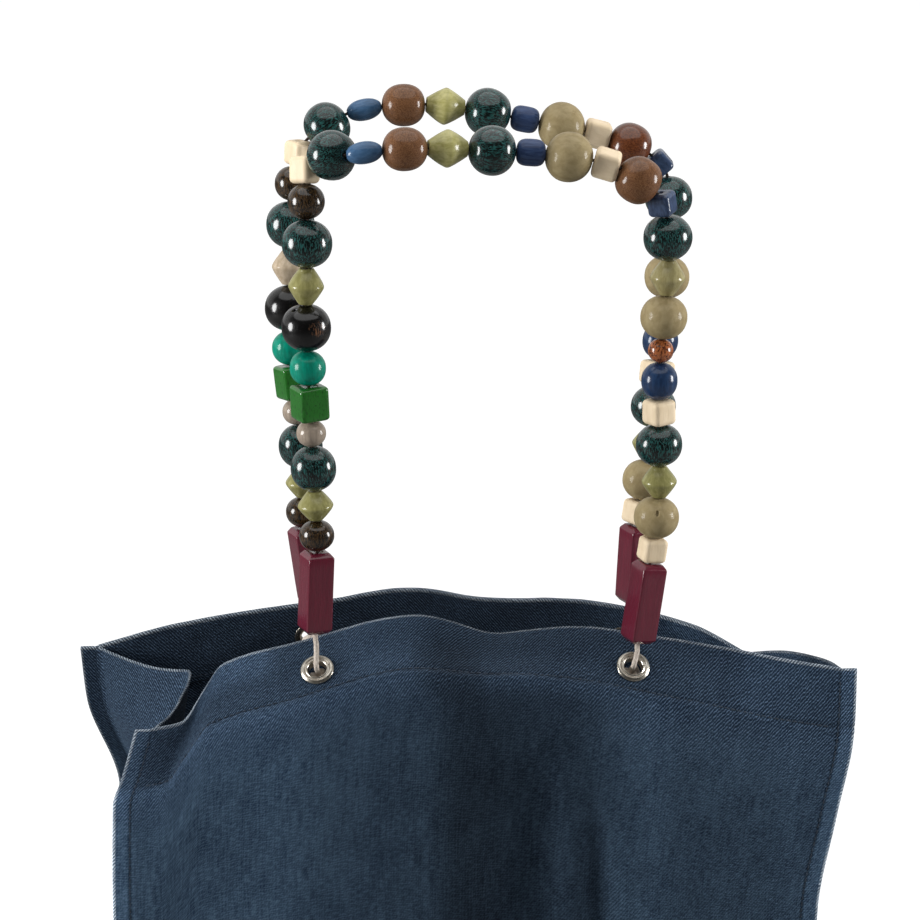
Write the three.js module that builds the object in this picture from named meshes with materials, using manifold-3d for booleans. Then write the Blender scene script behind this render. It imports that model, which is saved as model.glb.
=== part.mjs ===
import * as THREE from "three";
import { mergeVertices } from "three/addons/utils/BufferGeometryUtils.js";
import Module from "manifold-3d";

// A soft denim bag held up by two handles of threaded wooden beads.
// Millimetres, +Z up, +X to the right, the bag's front faces -Y.
// The origin is the grip, midway between the top runs of the two handles.

const wasm = await Module();
wasm.setup();

// Cloth
const clothThickness = 1.2;
const hemThickness = 2.4;
const hemDepth = 34;
const panelHeight = 345;
const baseZ = -605;
const flangeWidth = 8;
const seamGap = 0.3;
const sewnShare = 0.06;
const slopeReach = { across: 0.01, past: 1, down: 3 };

// The stiff double hem leans into the bag, and the single cloth below it swings back out.
const hemLeanShare = 0.75;
const hemOwnLean = 5;
const leanFadeLength = 30;
const steepestHem = 0.95;

// Eyelets
const eyeletHole = 4.5;
const eyeletBarrel = 5.1;
const eyeletFace = 8.5;
const eyeletWasher = 8.0;
const eyeletSides = 12;
const eyeletMetal = 0.8;
const eyeletSeatGap = 0.5;
const eyeletDown = 19;
const eyeletFlat = 0.03;

// Thread and beads
const threadRadius = 1.5;
const threadSides = 6;
const boreRadius = 1.85;
const beadSides = 10;
const knotRadius = 5.5;
const threadReach = 5;
const turnRoom = 1;
const routeDivisions = 2000;
const routeStride = 0.0002;
const rounding = 1e-6;

// Bead profiles, as shares of a bead's width or length
const roundBands = 4;
const biconeEnd = 0.2;
const barrelEnd = 0.4;
const barrelShoulder = 0.3;
const blockChamfer = 0.08;

// Rim of each panel, from its left stitch line to its right one: height, and lean into the bag
const frontRim = [
  { across: 0.0, z: -299, lean: 2 },
  { across: 0.035, z: -291, lean: 8 },
  { across: 0.1, z: -271, lean: 20 },
  { across: 0.22, z: -261, lean: 24 },
  { across: 0.38, z: -250, lean: 29 },
  { across: 0.52, z: -262, lean: 35 },
  { across: 0.61, z: -258, lean: 30 },
  { across: 0.8, z: -266, lean: 19 },
  { across: 0.92, z: -273, lean: 9 },
  { across: 1.0, z: -277, lean: 3 },
];
const backRim = [
  { across: 0.0, z: -278, lean: 0 },
  { across: 0.1, z: -268, lean: 3 },
  { across: 0.22, z: -260, lean: 6 },
  { across: 0.31, z: -255, lean: 10 },
  { across: 0.48, z: -248, lean: 11 },
  { across: 0.6, z: -255, lean: 9 },
  { across: 0.71, z: -256, lean: 9 },
  { across: 0.83, z: -264, lean: 6 },
  { across: 0.92, z: -274, lean: 3 },
  { across: 1.0, z: -290, lean: 0 },
];

// Stitch line down each side of each panel, by cloth length below the rim
const frontLeftSeam = [
  { down: 0, x: -168, y: -44 },
  { down: 25, x: -175, y: -49 },
  { down: 40, x: -180, y: -54 },
  { down: 95, x: -181, y: -57 },
  { down: 345, x: -166, y: -57 },
];
const frontRightSeam = [
  { down: 0, x: 181, y: -48 },
  { down: 34, x: 179, y: -52 },
  { down: 78, x: 170, y: -56 },
  { down: 130, x: 160.5, y: -58 },
  { down: 345, x: 154, y: -57 },
];
const backLeftSeam = [
  { down: 0, x: -193, y: 43 },
  { down: 30, x: -190, y: 46 },
  { down: 80, x: -174, y: 50 },
  { down: 345, x: -166, y: 57 },
];
const backRightSeam = [
  { down: 0, x: 146, y: 39 },
  { down: 50, x: 150, y: 46 },
  { down: 345, x: 154, y: 57 },
];

// Upright folds: how deep each sinks into the bag, its width to either side, and where it starts and ends
const frontFolds = [
  { x: 24, left: 46, right: 30, depth: 12, starts: 26, full: 115, ends: 335 },
  { x: 42, left: 7, right: 8, depth: -3, starts: 50, full: 130, ends: 300 },
  { x: 57, left: 6, right: 10, depth: 4, starts: 60, full: 140, ends: 300 },
  { x: -120, left: 30, right: 34, depth: 3, starts: 40, full: 130, ends: 320 },
];
const backFolds = [
  { x: -8, left: 48, right: 40, depth: 9, starts: 30, full: 120, ends: 330 },
  { x: 108, left: 18, right: 22, depth: 4, starts: 40, full: 140, ends: 310 },
];

// Inward tuck of each gusset's middle, and lift of its top edge there
const leftTuck = [
  { down: 0, tuck: 34, lift: 8 },
  { down: 40, tuck: 31, lift: 5 },
  { down: 100, tuck: 22, lift: 2 },
  { down: 200, tuck: 9, lift: 0 },
  { down: 345, tuck: 0, lift: 0 },
];
const rightTuck = [
  { down: 0, tuck: -4, lift: 4 },
  { down: 60, tuck: -5, lift: 2 },
  { down: 200, tuck: -4, lift: 0 },
  { down: 345, tuck: 0, lift: 0 },
];

// Where the cloth is divided: rows by cloth length below the rim, columns across each panel or gusset
const clothRows = [0, 34, 36, 50, 75, 110, 160, 220, 285, 345];
const besideEyelet = (across) => [across - eyeletFlat, across + eyeletFlat];
const frontEyelets = { left: 0.253, right: 0.7065 };
const backEyelets = { left: 0.319, right: 0.799 };
const frontColumns = [
  0.035, 0.09, 0.15, ...besideEyelet(frontEyelets.left), 0.33, 0.38, 0.45, 0.51, 0.56, 0.59, 0.615, 0.645,
  ...besideEyelet(frontEyelets.right), 0.8, 0.86, 0.92,
];
const backColumns = [
  0.08, 0.18, ...besideEyelet(backEyelets.left), 0.41, 0.48, 0.56, 0.66,
  ...besideEyelet(backEyelets.right), 0.91,
];
const gussetColumns = [0.2, 0.42, 0.5, 0.58, 0.8];

// Bead string from the left foot to the right: length on the thread, width across it and turn about it.
// A spacer is fused to its thread, and every other bead is a drilled piece of its own.
const beadRows = [
  { name: "block_left", form: "block", along: 42, across: 13.8, turn: 18, colour: "burgundy" },
  { name: "spacer_1", form: "round", along: 15.4, across: 17.6, spacer: true },
  { name: "olive_1", form: "bicone", along: 14.8, across: 17.8, colour: "olive" },
  { name: "teal_1", form: "round", along: 22.4, across: 22.8, colour: "teal" },
  { name: "spacer_2", form: "round", along: 13, across: 14.8, spacer: true },
  { name: "green_cube", form: "block", along: 17.2, across: 15.4, turn: 20, colour: "green" },
  { name: "turquoise", form: "round", along: 17, across: 18.2, colour: "turquoise" },
  { name: "black", form: "round", along: 23, across: 24.6, colour: "black" },
  { name: "olive_2", form: "bicone", along: 17.8, across: 17.6, colour: "olive" },
  { name: "teal_2", form: "round", along: 23.6, across: 24.8, colour: "teal" },
  { name: "spacer_3", form: "round", along: 17.2, across: 18.4, spacer: true },
  { name: "spacer_4", form: "block", along: 11, across: 10.8, turn: 48, spacer: true },
  { name: "teal_3", form: "round", along: 22.4, across: 24.8, colour: "teal" },
  { name: "spacer_5", form: "round", along: 17.6, across: 11.2, spacer: true },
  { name: "brown_1", form: "round", along: 21.8, across: 21.6, colour: "brown" },
  { name: "olive_3", form: "bicone", along: 19.7, across: 19, colour: "olive" },
  { name: "teal_4", form: "round", along: 23.2, across: 24.8, colour: "teal" },
  { name: "spacer_6", form: "barrel", along: 14.2, across: 13.4, spacer: true },
  { name: "tan_1", form: "round", along: 23.2, across: 24.8, colour: "tan" },
  { name: "spacer_7", form: "block", along: 13, across: 13.4, turn: 2, spacer: true },
  { name: "brown_2", form: "round", along: 21.6, across: 23.4, colour: "brown" },
  { name: "spacer_8", form: "block", along: 11.6, across: 12, turn: 0, spacer: true },
  { name: "teal_5", form: "round", along: 22.4, across: 24.4, colour: "teal" },
  { name: "olive_4", form: "bicone", along: 17.6, across: 17.6, colour: "olive" },
  { name: "tan_2", form: "round", along: 21.6, across: 23.4, colour: "tan" },
  { name: "spacer_9", form: "round", along: 11.6, across: 12.8, spacer: true },
  { name: "blue_round", form: "round", along: 18.6, across: 18.4, colour: "blue" },
  { name: "spacer_10", form: "block", along: 12.2, across: 14, turn: 29, spacer: true },
  { name: "teal_6", form: "round", along: 21.2, across: 23.4, colour: "teal" },
  { name: "olive_5", form: "bicone", along: 16.2, across: 17.6, colour: "olive" },
  { name: "tan_3", form: "round", along: 20.8, across: 23, colour: "tan" },
  { name: "spacer_11", form: "block", along: 12.4, across: 14, turn: 24, spacer: true },
  { name: "block_right", form: "block", along: 42, across: 13.8, turn: 41, colour: "burgundy" },
];

// Room left before every bead, and the more that a bead needs where the thread turns a corner
const frontRoom = {
  each: 0.3, teal_3: 6.8, spacer_5: 0.1, spacer_7: 0.2, brown_2: 0.4, spacer_8: 1.3, teal_5: 1.4,
  block_right: 0.2,
};
const backRoom = {
  each: 0.45, spacer_4: 0.9, teal_3: 3.6, spacer_5: 0.6, spacer_8: 1.4, teal_5: 1.5, block_right: 0.4,
};

// Thread route of each handle, from the foot of its left block over the grip to its right block
const frontRoute = [
  { x: -85.5, y: -34, z: -252.5 },
  { x: -84, y: -35.5, z: -215 },
  { x: -86, y: -38.5, z: -165.5 },
  { x: -88.5, y: -41.5, z: -114 },
  { x: -89.5, y: -43, z: -73.5 },
  { x: -87.5, y: -43, z: -53 },
  { x: -88.5, y: -39.5, z: -33 },
  { x: -89, y: -36.5, z: -23 },
  { x: -89, y: -34.5, z: -13.5 },
  { x: -83.5, y: -35.5, z: -10.5 },
  { x: -76.5, y: -45.5, z: -9 },
  { x: -70.5, y: -54.5, z: -7.5 },
  { x: -61.5, y: -57, z: -6 },
  { x: -41, y: -54, z: -4.5 },
  { x: 3.5, y: -50, z: -7 },
  { x: 41, y: -50, z: -10.5 },
  { x: 59, y: -51.5, z: -14.5 },
  { x: 74.5, y: -54.5, z: -20.5 },
  { x: 82, y: -52.5, z: -27.5 },
  { x: 87.5, y: -49, z: -36 },
  { x: 90, y: -45.5, z: -51.5 },
  { x: 90.5, y: -44.5, z: -72.5 },
  { x: 87, y: -42, z: -116.5 },
  { x: 87.5, y: -39.5, z: -157 },
  { x: 88, y: -37.5, z: -188 },
  { x: 85.5, y: -35.5, z: -211.5 },
  { x: 76, y: -33, z: -278.5 },
];
const backRoute = [
  { x: -79.5, y: 45, z: -258 },
  { x: -86, y: 40.5, z: -213 },
  { x: -85.5, y: 39, z: -190 },
  { x: -89.5, y: 39.5, z: -146 },
  { x: -92, y: 40.5, z: -121.5 },
  { x: -92, y: 42, z: -99 },
  { x: -89.5, y: 46, z: -41 },
  { x: -87, y: 47.5, z: -22.5 },
  { x: -80, y: 48, z: -14 },
  { x: -71.5, y: 48.5, z: -8 },
  { x: -53, y: 49, z: 0 },
  { x: -33.5, y: 49, z: 1 },
  { x: -12.5, y: 49, z: 1 },
  { x: 29.5, y: 48.5, z: -7 },
  { x: 68.5, y: 48, z: -15.5 },
  { x: 84.5, y: 47.5, z: -21 },
  { x: 97, y: 47.5, z: -28 },
  { x: 103, y: 47, z: -36 },
  { x: 104.5, y: 44.5, z: -69 },
  { x: 99.5, y: 40.5, z: -124 },
  { x: 91.5, y: 36, z: -195.5 },
  { x: 88, y: 36.5, z: -220 },
  { x: 86, y: 40, z: -265.5 },
  { x: 85.5, y: 43, z: -285 },
];

const finishes = {
  denim: { color: "#3b4d61", roughness: 0.95, metalness: 0 },
  nickel: { color: "#c9c8c4", roughness: 0.28, metalness: 1 },
  cord: { color: "#e4dfd2", roughness: 0.9, metalness: 0 },
  burgundy: { color: "#5e2030", roughness: 0.35, metalness: 0 },
  teal: { color: "#24393b", roughness: 0.3, metalness: 0 },
  olive: { color: "#8b8656", roughness: 0.35, metalness: 0 },
  tan: { color: "#897b58", roughness: 0.4, metalness: 0 },
  brown: { color: "#6b4d38", roughness: 0.4, metalness: 0 },
  black: { color: "#141414", roughness: 0.25, metalness: 0 },
  turquoise: { color: "#0b6050", roughness: 0.4, metalness: 0 },
  blue: { color: "#2c4466", roughness: 0.4, metalness: 0 },
  green: { color: "#1d521b", roughness: 0.4, metalness: 0 },
};

const { clamp, lerp, smoothstep, degToRad } = THREE.MathUtils;

// A smooth value through table rows that never swings past them
function curveThrough(rows, key, column) {
  const rise = (i) => (rows[i + 1][column] - rows[i][column]) / (rows[i + 1][key] - rows[i][key]);
  const slopes = rows.map((row, i) => {
    const before = rise(Math.max(i - 1, 0));
    const after = rise(Math.min(i, rows.length - 2));
    return before * after > 0 ? (2 * before * after) / (before + after) : 0;
  });
  return (at) => {
    let i = 0;
    while (i < rows.length - 2 && at > rows[i + 1][key]) i += 1;
    const span = rows[i + 1][key] - rows[i][key];
    const t = clamp((at - rows[i][key]) / span, 0, 1);
    const settle = t * t * (3 - 2 * t);
    const leave = t * (1 - t) * (1 - t) * span * slopes[i];
    const arrive = t * t * (1 - t) * span * slopes[i + 1];
    return lerp(rows[i][column], rows[i + 1][column], settle) + leave - arrive;
  };
}

function makePanel(inward, rim, leftSeam, rightSeam, folds) {
  return {
    inward,
    folds,
    rimZ: curveThrough(rim, "across", "z"),
    lean: curveThrough(rim, "across", "lean"),
    leftX: curveThrough(leftSeam, "down", "x"),
    leftY: curveThrough(leftSeam, "down", "y"),
    rightX: curveThrough(rightSeam, "down", "x"),
    rightY: curveThrough(rightSeam, "down", "y"),
  };
}

const frontPanel = makePanel(1, frontRim, frontLeftSeam, frontRightSeam, frontFolds);
const backPanel = makePanel(-1, backRim, backLeftSeam, backRightSeam, backFolds);

// Share of the rim's lean that is left at a length below the rim
function leanLeft(down) {
  if (down < hemDepth) return 1 - (hemLeanShare * down) / hemDepth;
  return (1 - hemLeanShare) * Math.exp((hemDepth - down) / leanFadeLength);
}

function foldDepth(fold, x, down) {
  const width = x < fold.x ? fold.left : fold.right;
  const aside = (x - fold.x) / width;
  const grown = smoothstep(down, fold.starts, fold.full) * (1 - smoothstep(down, fold.full, fold.ends));
  return fold.depth * grown * Math.exp(-aside * aside);
}

// A point on a panel's outer face. A column is a share across, and past is a reach beyond the stitch line.
function panelPoint(panel, column, down) {
  const { across, past } = column;
  const lean = panel.lean(across);
  const hemFall = Math.min((hemLeanShare * lean + hemOwnLean) / hemDepth, steepestHem);
  const hemDrop = Math.sqrt(1 - hemFall * hemFall);
  const drop = Math.min(down, hemDepth) * hemDrop + Math.max(down - hemDepth, 0);
  const fullDrop = hemDepth * hemDrop + panelHeight - hemDepth;
  const x = lerp(panel.leftX(down), panel.rightX(down), across) + past;
  const foldIn = panel.folds.reduce((sum, fold) => sum + foldDepth(fold, x, down), 0);
  const sewnEdge = smoothstep(across, 0, sewnShare) * smoothstep(1 - across, 0, sewnShare);
  const inwards = lean * leanLeft(down) + foldIn * sewnEdge;
  const y = lerp(panel.leftY(down), panel.rightY(down), across) + panel.inward * inwards;
  return new THREE.Vector3(x, y, lerp(panel.rimZ(across), baseZ, drop / fullDrop));
}

// Unit direction from a panel's outer face into the bag
function panelInward(panel, column, down) {
  const { across, past } = column;
  const leftShare = Math.max(across - slopeReach.across, 0);
  const rightShare = Math.min(across + slopeReach.across, 1);
  const left = panelPoint(panel, { across: leftShare, past: past - slopeReach.past }, down);
  const right = panelPoint(panel, { across: rightShare, past: past + slopeReach.past }, down);
  const above = panelPoint(panel, column, Math.max(down - slopeReach.down, 0));
  const below = panelPoint(panel, column, Math.min(down + slopeReach.down, panelHeight));
  const inward = right.sub(left).cross(above.sub(below));
  return inward.normalize().multiplyScalar(Math.sign(inward.y) * panel.inward);
}

const stitchLeft = { across: 0, past: 0 };
const stitchRight = { across: 1, past: 0 };
const edgeLeft = { across: 0, past: -flangeWidth };
const edgeRight = { across: 1, past: flangeWidth };

// A closed cloth wall: one face follows the points, the other lies a thickness away from it
function clothWall(points, thicknessAt, side) {
  const rows = points.length;
  const columns = points[0].length;
  const at = (r, c) => points[clamp(r, 0, rows - 1)][clamp(c, 0, columns - 1)];
  const near = [];
  const far = [];
  for (let r = 0; r < rows; r += 1) {
    for (let c = 0; c < columns; c += 1) {
      const along = at(r, c + 1).clone().sub(at(r, c)).normalize();
      along.add(at(r, c).clone().sub(at(r, c - 1)).normalize());
      const up = at(r - 1, c).clone().sub(at(r + 1, c));
      const normal = along.cross(up).normalize();
      near.push(at(r, c));
      far.push(at(r, c).clone().addScaledVector(normal, side * thicknessAt(r, c)));
    }
  }
  const index = [];
  const quad = (a, b, c, d) => (side < 0 ? index.push(a, b, c, a, c, d) : index.push(a, c, b, a, d, c));
  const count = rows * columns;
  const id = (r, c) => r * columns + c;
  for (let r = 0; r < rows - 1; r += 1) {
    for (let c = 0; c < columns - 1; c += 1) {
      const corners = [id(r + 1, c), id(r + 1, c + 1), id(r, c + 1), id(r, c)];
      quad(...corners);
      quad(...corners.map((corner) => corner + count).reverse());
    }
  }
  const border = [];
  for (let c = 0; c < columns - 1; c += 1) border.push([id(0, c + 1), id(0, c)]);
  for (let r = 0; r < rows - 1; r += 1) border.push([id(r, 0), id(r + 1, 0)]);
  for (let c = 0; c < columns - 1; c += 1) border.push([id(rows - 1, c), id(rows - 1, c + 1)]);
  for (let r = 0; r < rows - 1; r += 1) border.push([id(r + 1, columns - 1), id(r, columns - 1)]);
  for (const [a, b] of border) quad(b, a, a + count, b + count);
  const geometry = new THREE.BufferGeometry();
  const places = [...near, ...far].flatMap((point) => point.toArray());
  geometry.setAttribute("position", new THREE.Float32BufferAttribute(places, 3));
  geometry.setIndex(index);
  return geometry;
}

function panelGeometry(panel, shares) {
  const inner = shares.map((across) => ({ across, past: 0 }));
  const columns = [edgeLeft, stitchLeft, ...inner, stitchRight, edgeRight];
  const points = clothRows.map((down) => columns.map((column) => panelPoint(panel, column, down)));
  const isInside = (c) => c > 1 && c < columns.length - 2;
  const thicknessAt = (r, c) => (clothRows[r] <= hemDepth && isInside(c) ? hemThickness : clothThickness);
  return clothWall(points, thicknessAt, -panel.inward);
}

// A gusset's inner face: a flange behind each panel's flange, and a wall between the stitch lines
function gussetGeometry(stitch, edge, tuckRows) {
  const outward = Math.sign(edge.past);
  const tuck = curveThrough(tuckRows, "down", "tuck");
  const lift = curveThrough(tuckRows, "down", "lift");
  const behind = (panel, column, down) => {
    const inward = panelInward(panel, column, down);
    return panelPoint(panel, column, down).addScaledVector(inward, clothThickness + seamGap);
  };
  const points = clothRows.map((down) => {
    const front = behind(frontPanel, stitch, down);
    const back = behind(backPanel, stitch, down);
    const wall = gussetColumns.map((share) => {
      const point = front.clone().lerp(back, share);
      const folded = tuck(down) > 0 ? 1 - Math.abs(2 * share - 1) : 4 * share * (1 - share);
      point.x -= outward * tuck(down) * folded;
      point.z += lift(down) * folded;
      return point;
    });
    return [behind(frontPanel, edge, down), front, ...wall, back, behind(backPanel, edge, down)];
  });
  return clothWall(points, () => clothThickness, outward);
}

function baseGeometry() {
  const low = { x: backPanel.leftX(panelHeight) + seamGap, y: frontPanel.leftY(panelHeight) };
  const high = { x: backPanel.rightX(panelHeight) - seamGap, y: backPanel.leftY(panelHeight) };
  const clear = clothThickness + 2 * seamGap;
  const shape = new THREE.Shape();
  shape.moveTo(low.x, low.y + clear);
  shape.lineTo(high.x, low.y + clear);
  shape.lineTo(high.x, high.y - clear);
  shape.lineTo(low.x, high.y - clear);
  shape.closePath();
  const geometry = new THREE.ExtrudeGeometry(shape, { depth: clothThickness, bevelEnabled: false });
  return geometry.translate(0, 0, baseZ);
}

// Closed solids for cutting and joining
function solidOf(geometry) {
  const bare = geometry.clone();
  bare.deleteAttribute("normal");
  bare.deleteAttribute("uv");
  const welded = mergeVertices(bare);
  const corners = welded.index.array;
  const triVerts = [];
  for (let i = 0; i < corners.length; i += 3) {
    const [a, b, c] = corners.slice(i, i + 3);
    if (a !== b && b !== c && c !== a) triVerts.push(a, b, c);
  }
  const vertProperties = Float32Array.from(welded.attributes.position.array);
  const mesh = new wasm.Mesh({ numProp: 3, vertProperties, triVerts: Uint32Array.from(triVerts) });
  return new wasm.Manifold(mesh);
}

function geometryOf(solid) {
  const mesh = solid.getMesh();
  const geometry = new THREE.BufferGeometry();
  geometry.setAttribute("position", new THREE.BufferAttribute(mesh.vertProperties, 3));
  geometry.setIndex(new THREE.BufferAttribute(mesh.triVerts, 1));
  return geometry;
}

// A ring about +Z from a closed outline of radius and height
function latheAboutZ(outline, sides) {
  const points = outline.map(([radius, height]) => new THREE.Vector2(radius, height));
  return new THREE.LatheGeometry(points, sides).rotateX(Math.PI / 2);
}

// An eyelet's outline about its axis, with the cloth's outer face at height 0
function eyeletOutline() {
  const washerTop = -hemThickness - eyeletSeatGap;
  const washerFoot = washerTop - eyeletMetal;
  const faceTop = eyeletSeatGap + eyeletMetal;
  return [
    [eyeletHole, washerFoot],
    [eyeletWasher, washerFoot],
    [eyeletWasher, washerTop],
    [eyeletBarrel, washerTop],
    [eyeletBarrel, eyeletSeatGap],
    [eyeletFace, eyeletSeatGap],
    [eyeletFace - eyeletMetal / 2, faceTop],
    [eyeletHole, faceTop],
    [eyeletHole, washerFoot],
  ];
}

function placeOn(object, origin, direction, turn) {
  const upright = new THREE.Vector3(0, 0, 1);
  object.position.copy(origin);
  object.quaternion.setFromUnitVectors(upright, direction);
  object.rotateZ(degToRad(turn));
  object.updateMatrix();
  return object;
}

// An eyelet lies on the flat of the hem between the columns beside it
function eyeletSeat(panel, across) {
  const [left, right] = besideEyelet(across);
  const corner = (share, down) => panelPoint(panel, { across: share, past: 0 }, down);
  const top = corner(left, 0).lerp(corner(right, 0), 0.5);
  const foot = corner(left, hemDepth).lerp(corner(right, hemDepth), 0.5);
  const along = corner(right, 0).sub(corner(left, 0));
  along.add(corner(right, hemDepth)).sub(corner(left, hemDepth));
  const outward = along.cross(top.clone().sub(foot)).normalize().multiplyScalar(panel.inward);
  return { centre: top.lerp(foot, eyeletDown / hemDepth), outward };
}

const eyeletSeats = {
  front_left: eyeletSeat(frontPanel, frontEyelets.left),
  front_right: eyeletSeat(frontPanel, frontEyelets.right),
  back_left: eyeletSeat(backPanel, backEyelets.left),
  back_right: eyeletSeat(backPanel, backEyelets.right),
};

// A panel with a hole through its hem at each eyelet, and a level seat for the metal on both faces
function punched(geometry, seats) {
  const reach = 2 * hemThickness;
  const seatTop = eyeletSeatGap - seamGap;
  const outline = [
    [0, -hemThickness - reach],
    [eyeletWasher + seamGap, -hemThickness - reach],
    [eyeletWasher + seamGap, -hemThickness - seatTop],
    [eyeletBarrel + seamGap, -hemThickness - seatTop],
    [eyeletBarrel + seamGap, seatTop],
    [eyeletFace + seamGap, seatTop],
    [eyeletFace + seamGap, reach],
    [0, reach],
  ];
  let solid = solidOf(geometry);
  for (const seat of seats) {
    const punch = placeOn(new THREE.Object3D(), seat.centre, seat.outward, 0);
    solid = solid.subtract(solidOf(latheAboutZ(outline, eyeletSides).applyMatrix4(punch.matrix)));
  }
  return geometryOf(solid);
}

// Bead shapes about +Z
function roundBead(along, across, bore) {
  const outline = [];
  const endAngle = Math.acos(Math.min((2 * bore) / across, 1));
  for (let i = 0; i <= roundBands; i += 1) {
    const angle = lerp(-endAngle, endAngle, i / roundBands);
    const height = (Math.sin(angle) / Math.sin(endAngle)) * (along / 2);
    outline.push([(Math.cos(angle) * across) / 2, height]);
  }
  if (bore > 0) outline.push(outline[0]);
  return latheAboutZ(outline, beadSides);
}

function biconeBead(along, across, bore) {
  const endRadius = biconeEnd * across;
  const outline = [
    [bore, -along / 2],
    [endRadius, -along / 2],
    [across / 2, 0],
    [endRadius, along / 2],
    [bore, along / 2],
    [bore, -along / 2],
  ];
  return latheAboutZ(outline, beadSides);
}

function barrelBead(along, across, bore) {
  const endRadius = barrelEnd * across;
  const shoulder = barrelShoulder * along;
  const outline = [
    [bore, -along / 2],
    [endRadius, -along / 2],
    [across / 2, -shoulder],
    [across / 2, shoulder],
    [endRadius, along / 2],
    [bore, along / 2],
  ];
  return latheAboutZ(outline, beadSides);
}

function blockBead(along, across, bore) {
  const half = across / 2;
  const chamfer = blockChamfer * across;
  const middle = new THREE.Vector2();
  const corners = [];
  for (let side = 0; side < 4; side += 1) {
    const turn = (side * Math.PI) / 2;
    corners.push(new THREE.Vector2(half, half - chamfer).rotateAround(middle, turn));
    corners.push(new THREE.Vector2(half - chamfer, half).rotateAround(middle, turn));
  }
  const shape = new THREE.Shape(corners);
  if (bore > 0) shape.holes.push(ringPath(bore, beadSides));
  const geometry = new THREE.ExtrudeGeometry(shape, { depth: along, bevelEnabled: false });
  return geometry.translate(0, 0, -along / 2);
}

function ringPath(radius, sides) {
  const points = [];
  for (let i = 0; i < sides; i += 1) {
    const angle = (2 * Math.PI * i) / sides;
    points.push(new THREE.Vector2(radius * Math.cos(angle), radius * Math.sin(angle)));
  }
  return new THREE.Path(points);
}

const beadForms = { round: roundBead, bicone: biconeBead, barrel: barrelBead, block: blockBead };

// The thread turns only between beads, so its route is a run of straight stretches
class ThreadRun extends THREE.Curve {
  constructor(corners) {
    super();
    this.corners = corners;
  }

  getPointAt(share) {
    const last = this.corners.length - 1;
    const at = Math.min(Math.floor(share * last + rounding), last - 1);
    return this.corners[at].clone().lerp(this.corners[at + 1], share * last - at);
  }

  getPoint(share) {
    return this.getPointAt(share);
  }

  getTangentAt(share) {
    const last = this.corners.length - 1;
    const at = Math.round(share * last);
    const here = this.corners[at];
    const before = here.clone().sub(this.corners[Math.max(at - 1, 0)]).normalize();
    const after = this.corners[Math.min(at + 1, last)].clone().sub(here).normalize();
    return before.add(after).normalize();
  }
}

function threadGeometry(corners) {
  const section = new THREE.Shape(ringPath(threadRadius, threadSides).getPoints());
  const steps = corners.length - 1;
  const extrudePath = new ThreadRun(corners);
  return new THREE.ExtrudeGeometry(section, { steps, extrudePath, bevelEnabled: false });
}

// The next place on the route that lies a straight distance from a point
function stepAlong(curve, from, share, distance) {
  let next = share;
  while (next < 1 && curve.getPointAt(next).distanceTo(from) < distance) next += routeStride;
  return Math.min(next, 1);
}

function strungBeads(routeRows, room) {
  const curve = new THREE.CatmullRomCurve3(routeRows.map(({ x, y, z }) => new THREE.Vector3(x, y, z)));
  curve.arcLengthDivisions = routeDivisions;
  let share = 0;
  let at = curve.getPointAt(0);
  return beadRows.map((row, i) => {
    const gap = i === 0 ? 0 : room.each + (room[row.name] ?? 0);
    share = stepAlong(curve, at, share, gap);
    const start = curve.getPointAt(share);
    share = stepAlong(curve, start, share, row.along);
    at = curve.getPointAt(share);
    const axis = at.clone().sub(start).normalize();
    return { row, start, end: at, axis, centre: start.clone().add(at).multiplyScalar(0.5) };
  });
}

// A stop knot rests in the mouth of its eyelet's washer, inside the bag
function threadCorners(beads, leftSeat, rightSeat) {
  const foot = (seat) => {
    const knotRest = Math.sqrt((knotRadius + seamGap) ** 2 - eyeletHole ** 2);
    const knotDepth = hemThickness + eyeletSeatGap + eyeletMetal + knotRest;
    const outside = seat.centre.clone().addScaledVector(seat.outward, threadReach);
    const knot = seat.centre.clone().addScaledVector(seat.outward, -knotDepth);
    return { outside, knot };
  };
  const left = foot(leftSeat);
  const right = foot(rightSeat);
  const between = beads.slice(1).flatMap((bead, i) => {
    const before = beads[i].end;
    const isWide = before.distanceTo(bead.start) > turnRoom;
    return isWide ? [before, bead.start] : [before.clone().lerp(bead.start, 0.5)];
  });
  const first = beads[0].start;
  const last = beads[beads.length - 1].end;
  return [left.knot, left.outside, first, ...between, last, right.outside, right.knot];
}

const bag = new THREE.Group();

function addPiece(name, geometry, finish) {
  const mesh = new THREE.Mesh(geometry, new THREE.MeshStandardMaterial(finishes[finish]));
  mesh.name = name;
  bag.add(mesh);
  return mesh;
}

function addHandle(side, routeRows, room, leftSeat, rightSeat) {
  const beads = strungBeads(routeRows, room);
  const corners = threadCorners(beads, leftSeat, rightSeat);
  let string = solidOf(threadGeometry(corners));
  for (const knot of [corners[0], corners[corners.length - 1]]) {
    const geometry = new THREE.IcosahedronGeometry(knotRadius, 1).translate(knot.x, knot.y, knot.z);
    string = string.add(solidOf(geometry));
  }
  for (const { row, centre, axis } of beads) {
    const bore = row.spacer ? 0 : boreRadius;
    const geometry = beadForms[row.form](row.along, row.across, bore);
    if (row.spacer) {
      const holder = placeOn(new THREE.Object3D(), centre, axis, row.turn ?? 0);
      string = string.add(solidOf(geometry.applyMatrix4(holder.matrix)));
    } else {
      placeOn(addPiece(`${side}_${row.name}`, geometry, row.colour), centre, axis, row.turn ?? 0);
    }
  }
  addPiece(`${side}_string`, geometryOf(string), "cord");
}

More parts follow.
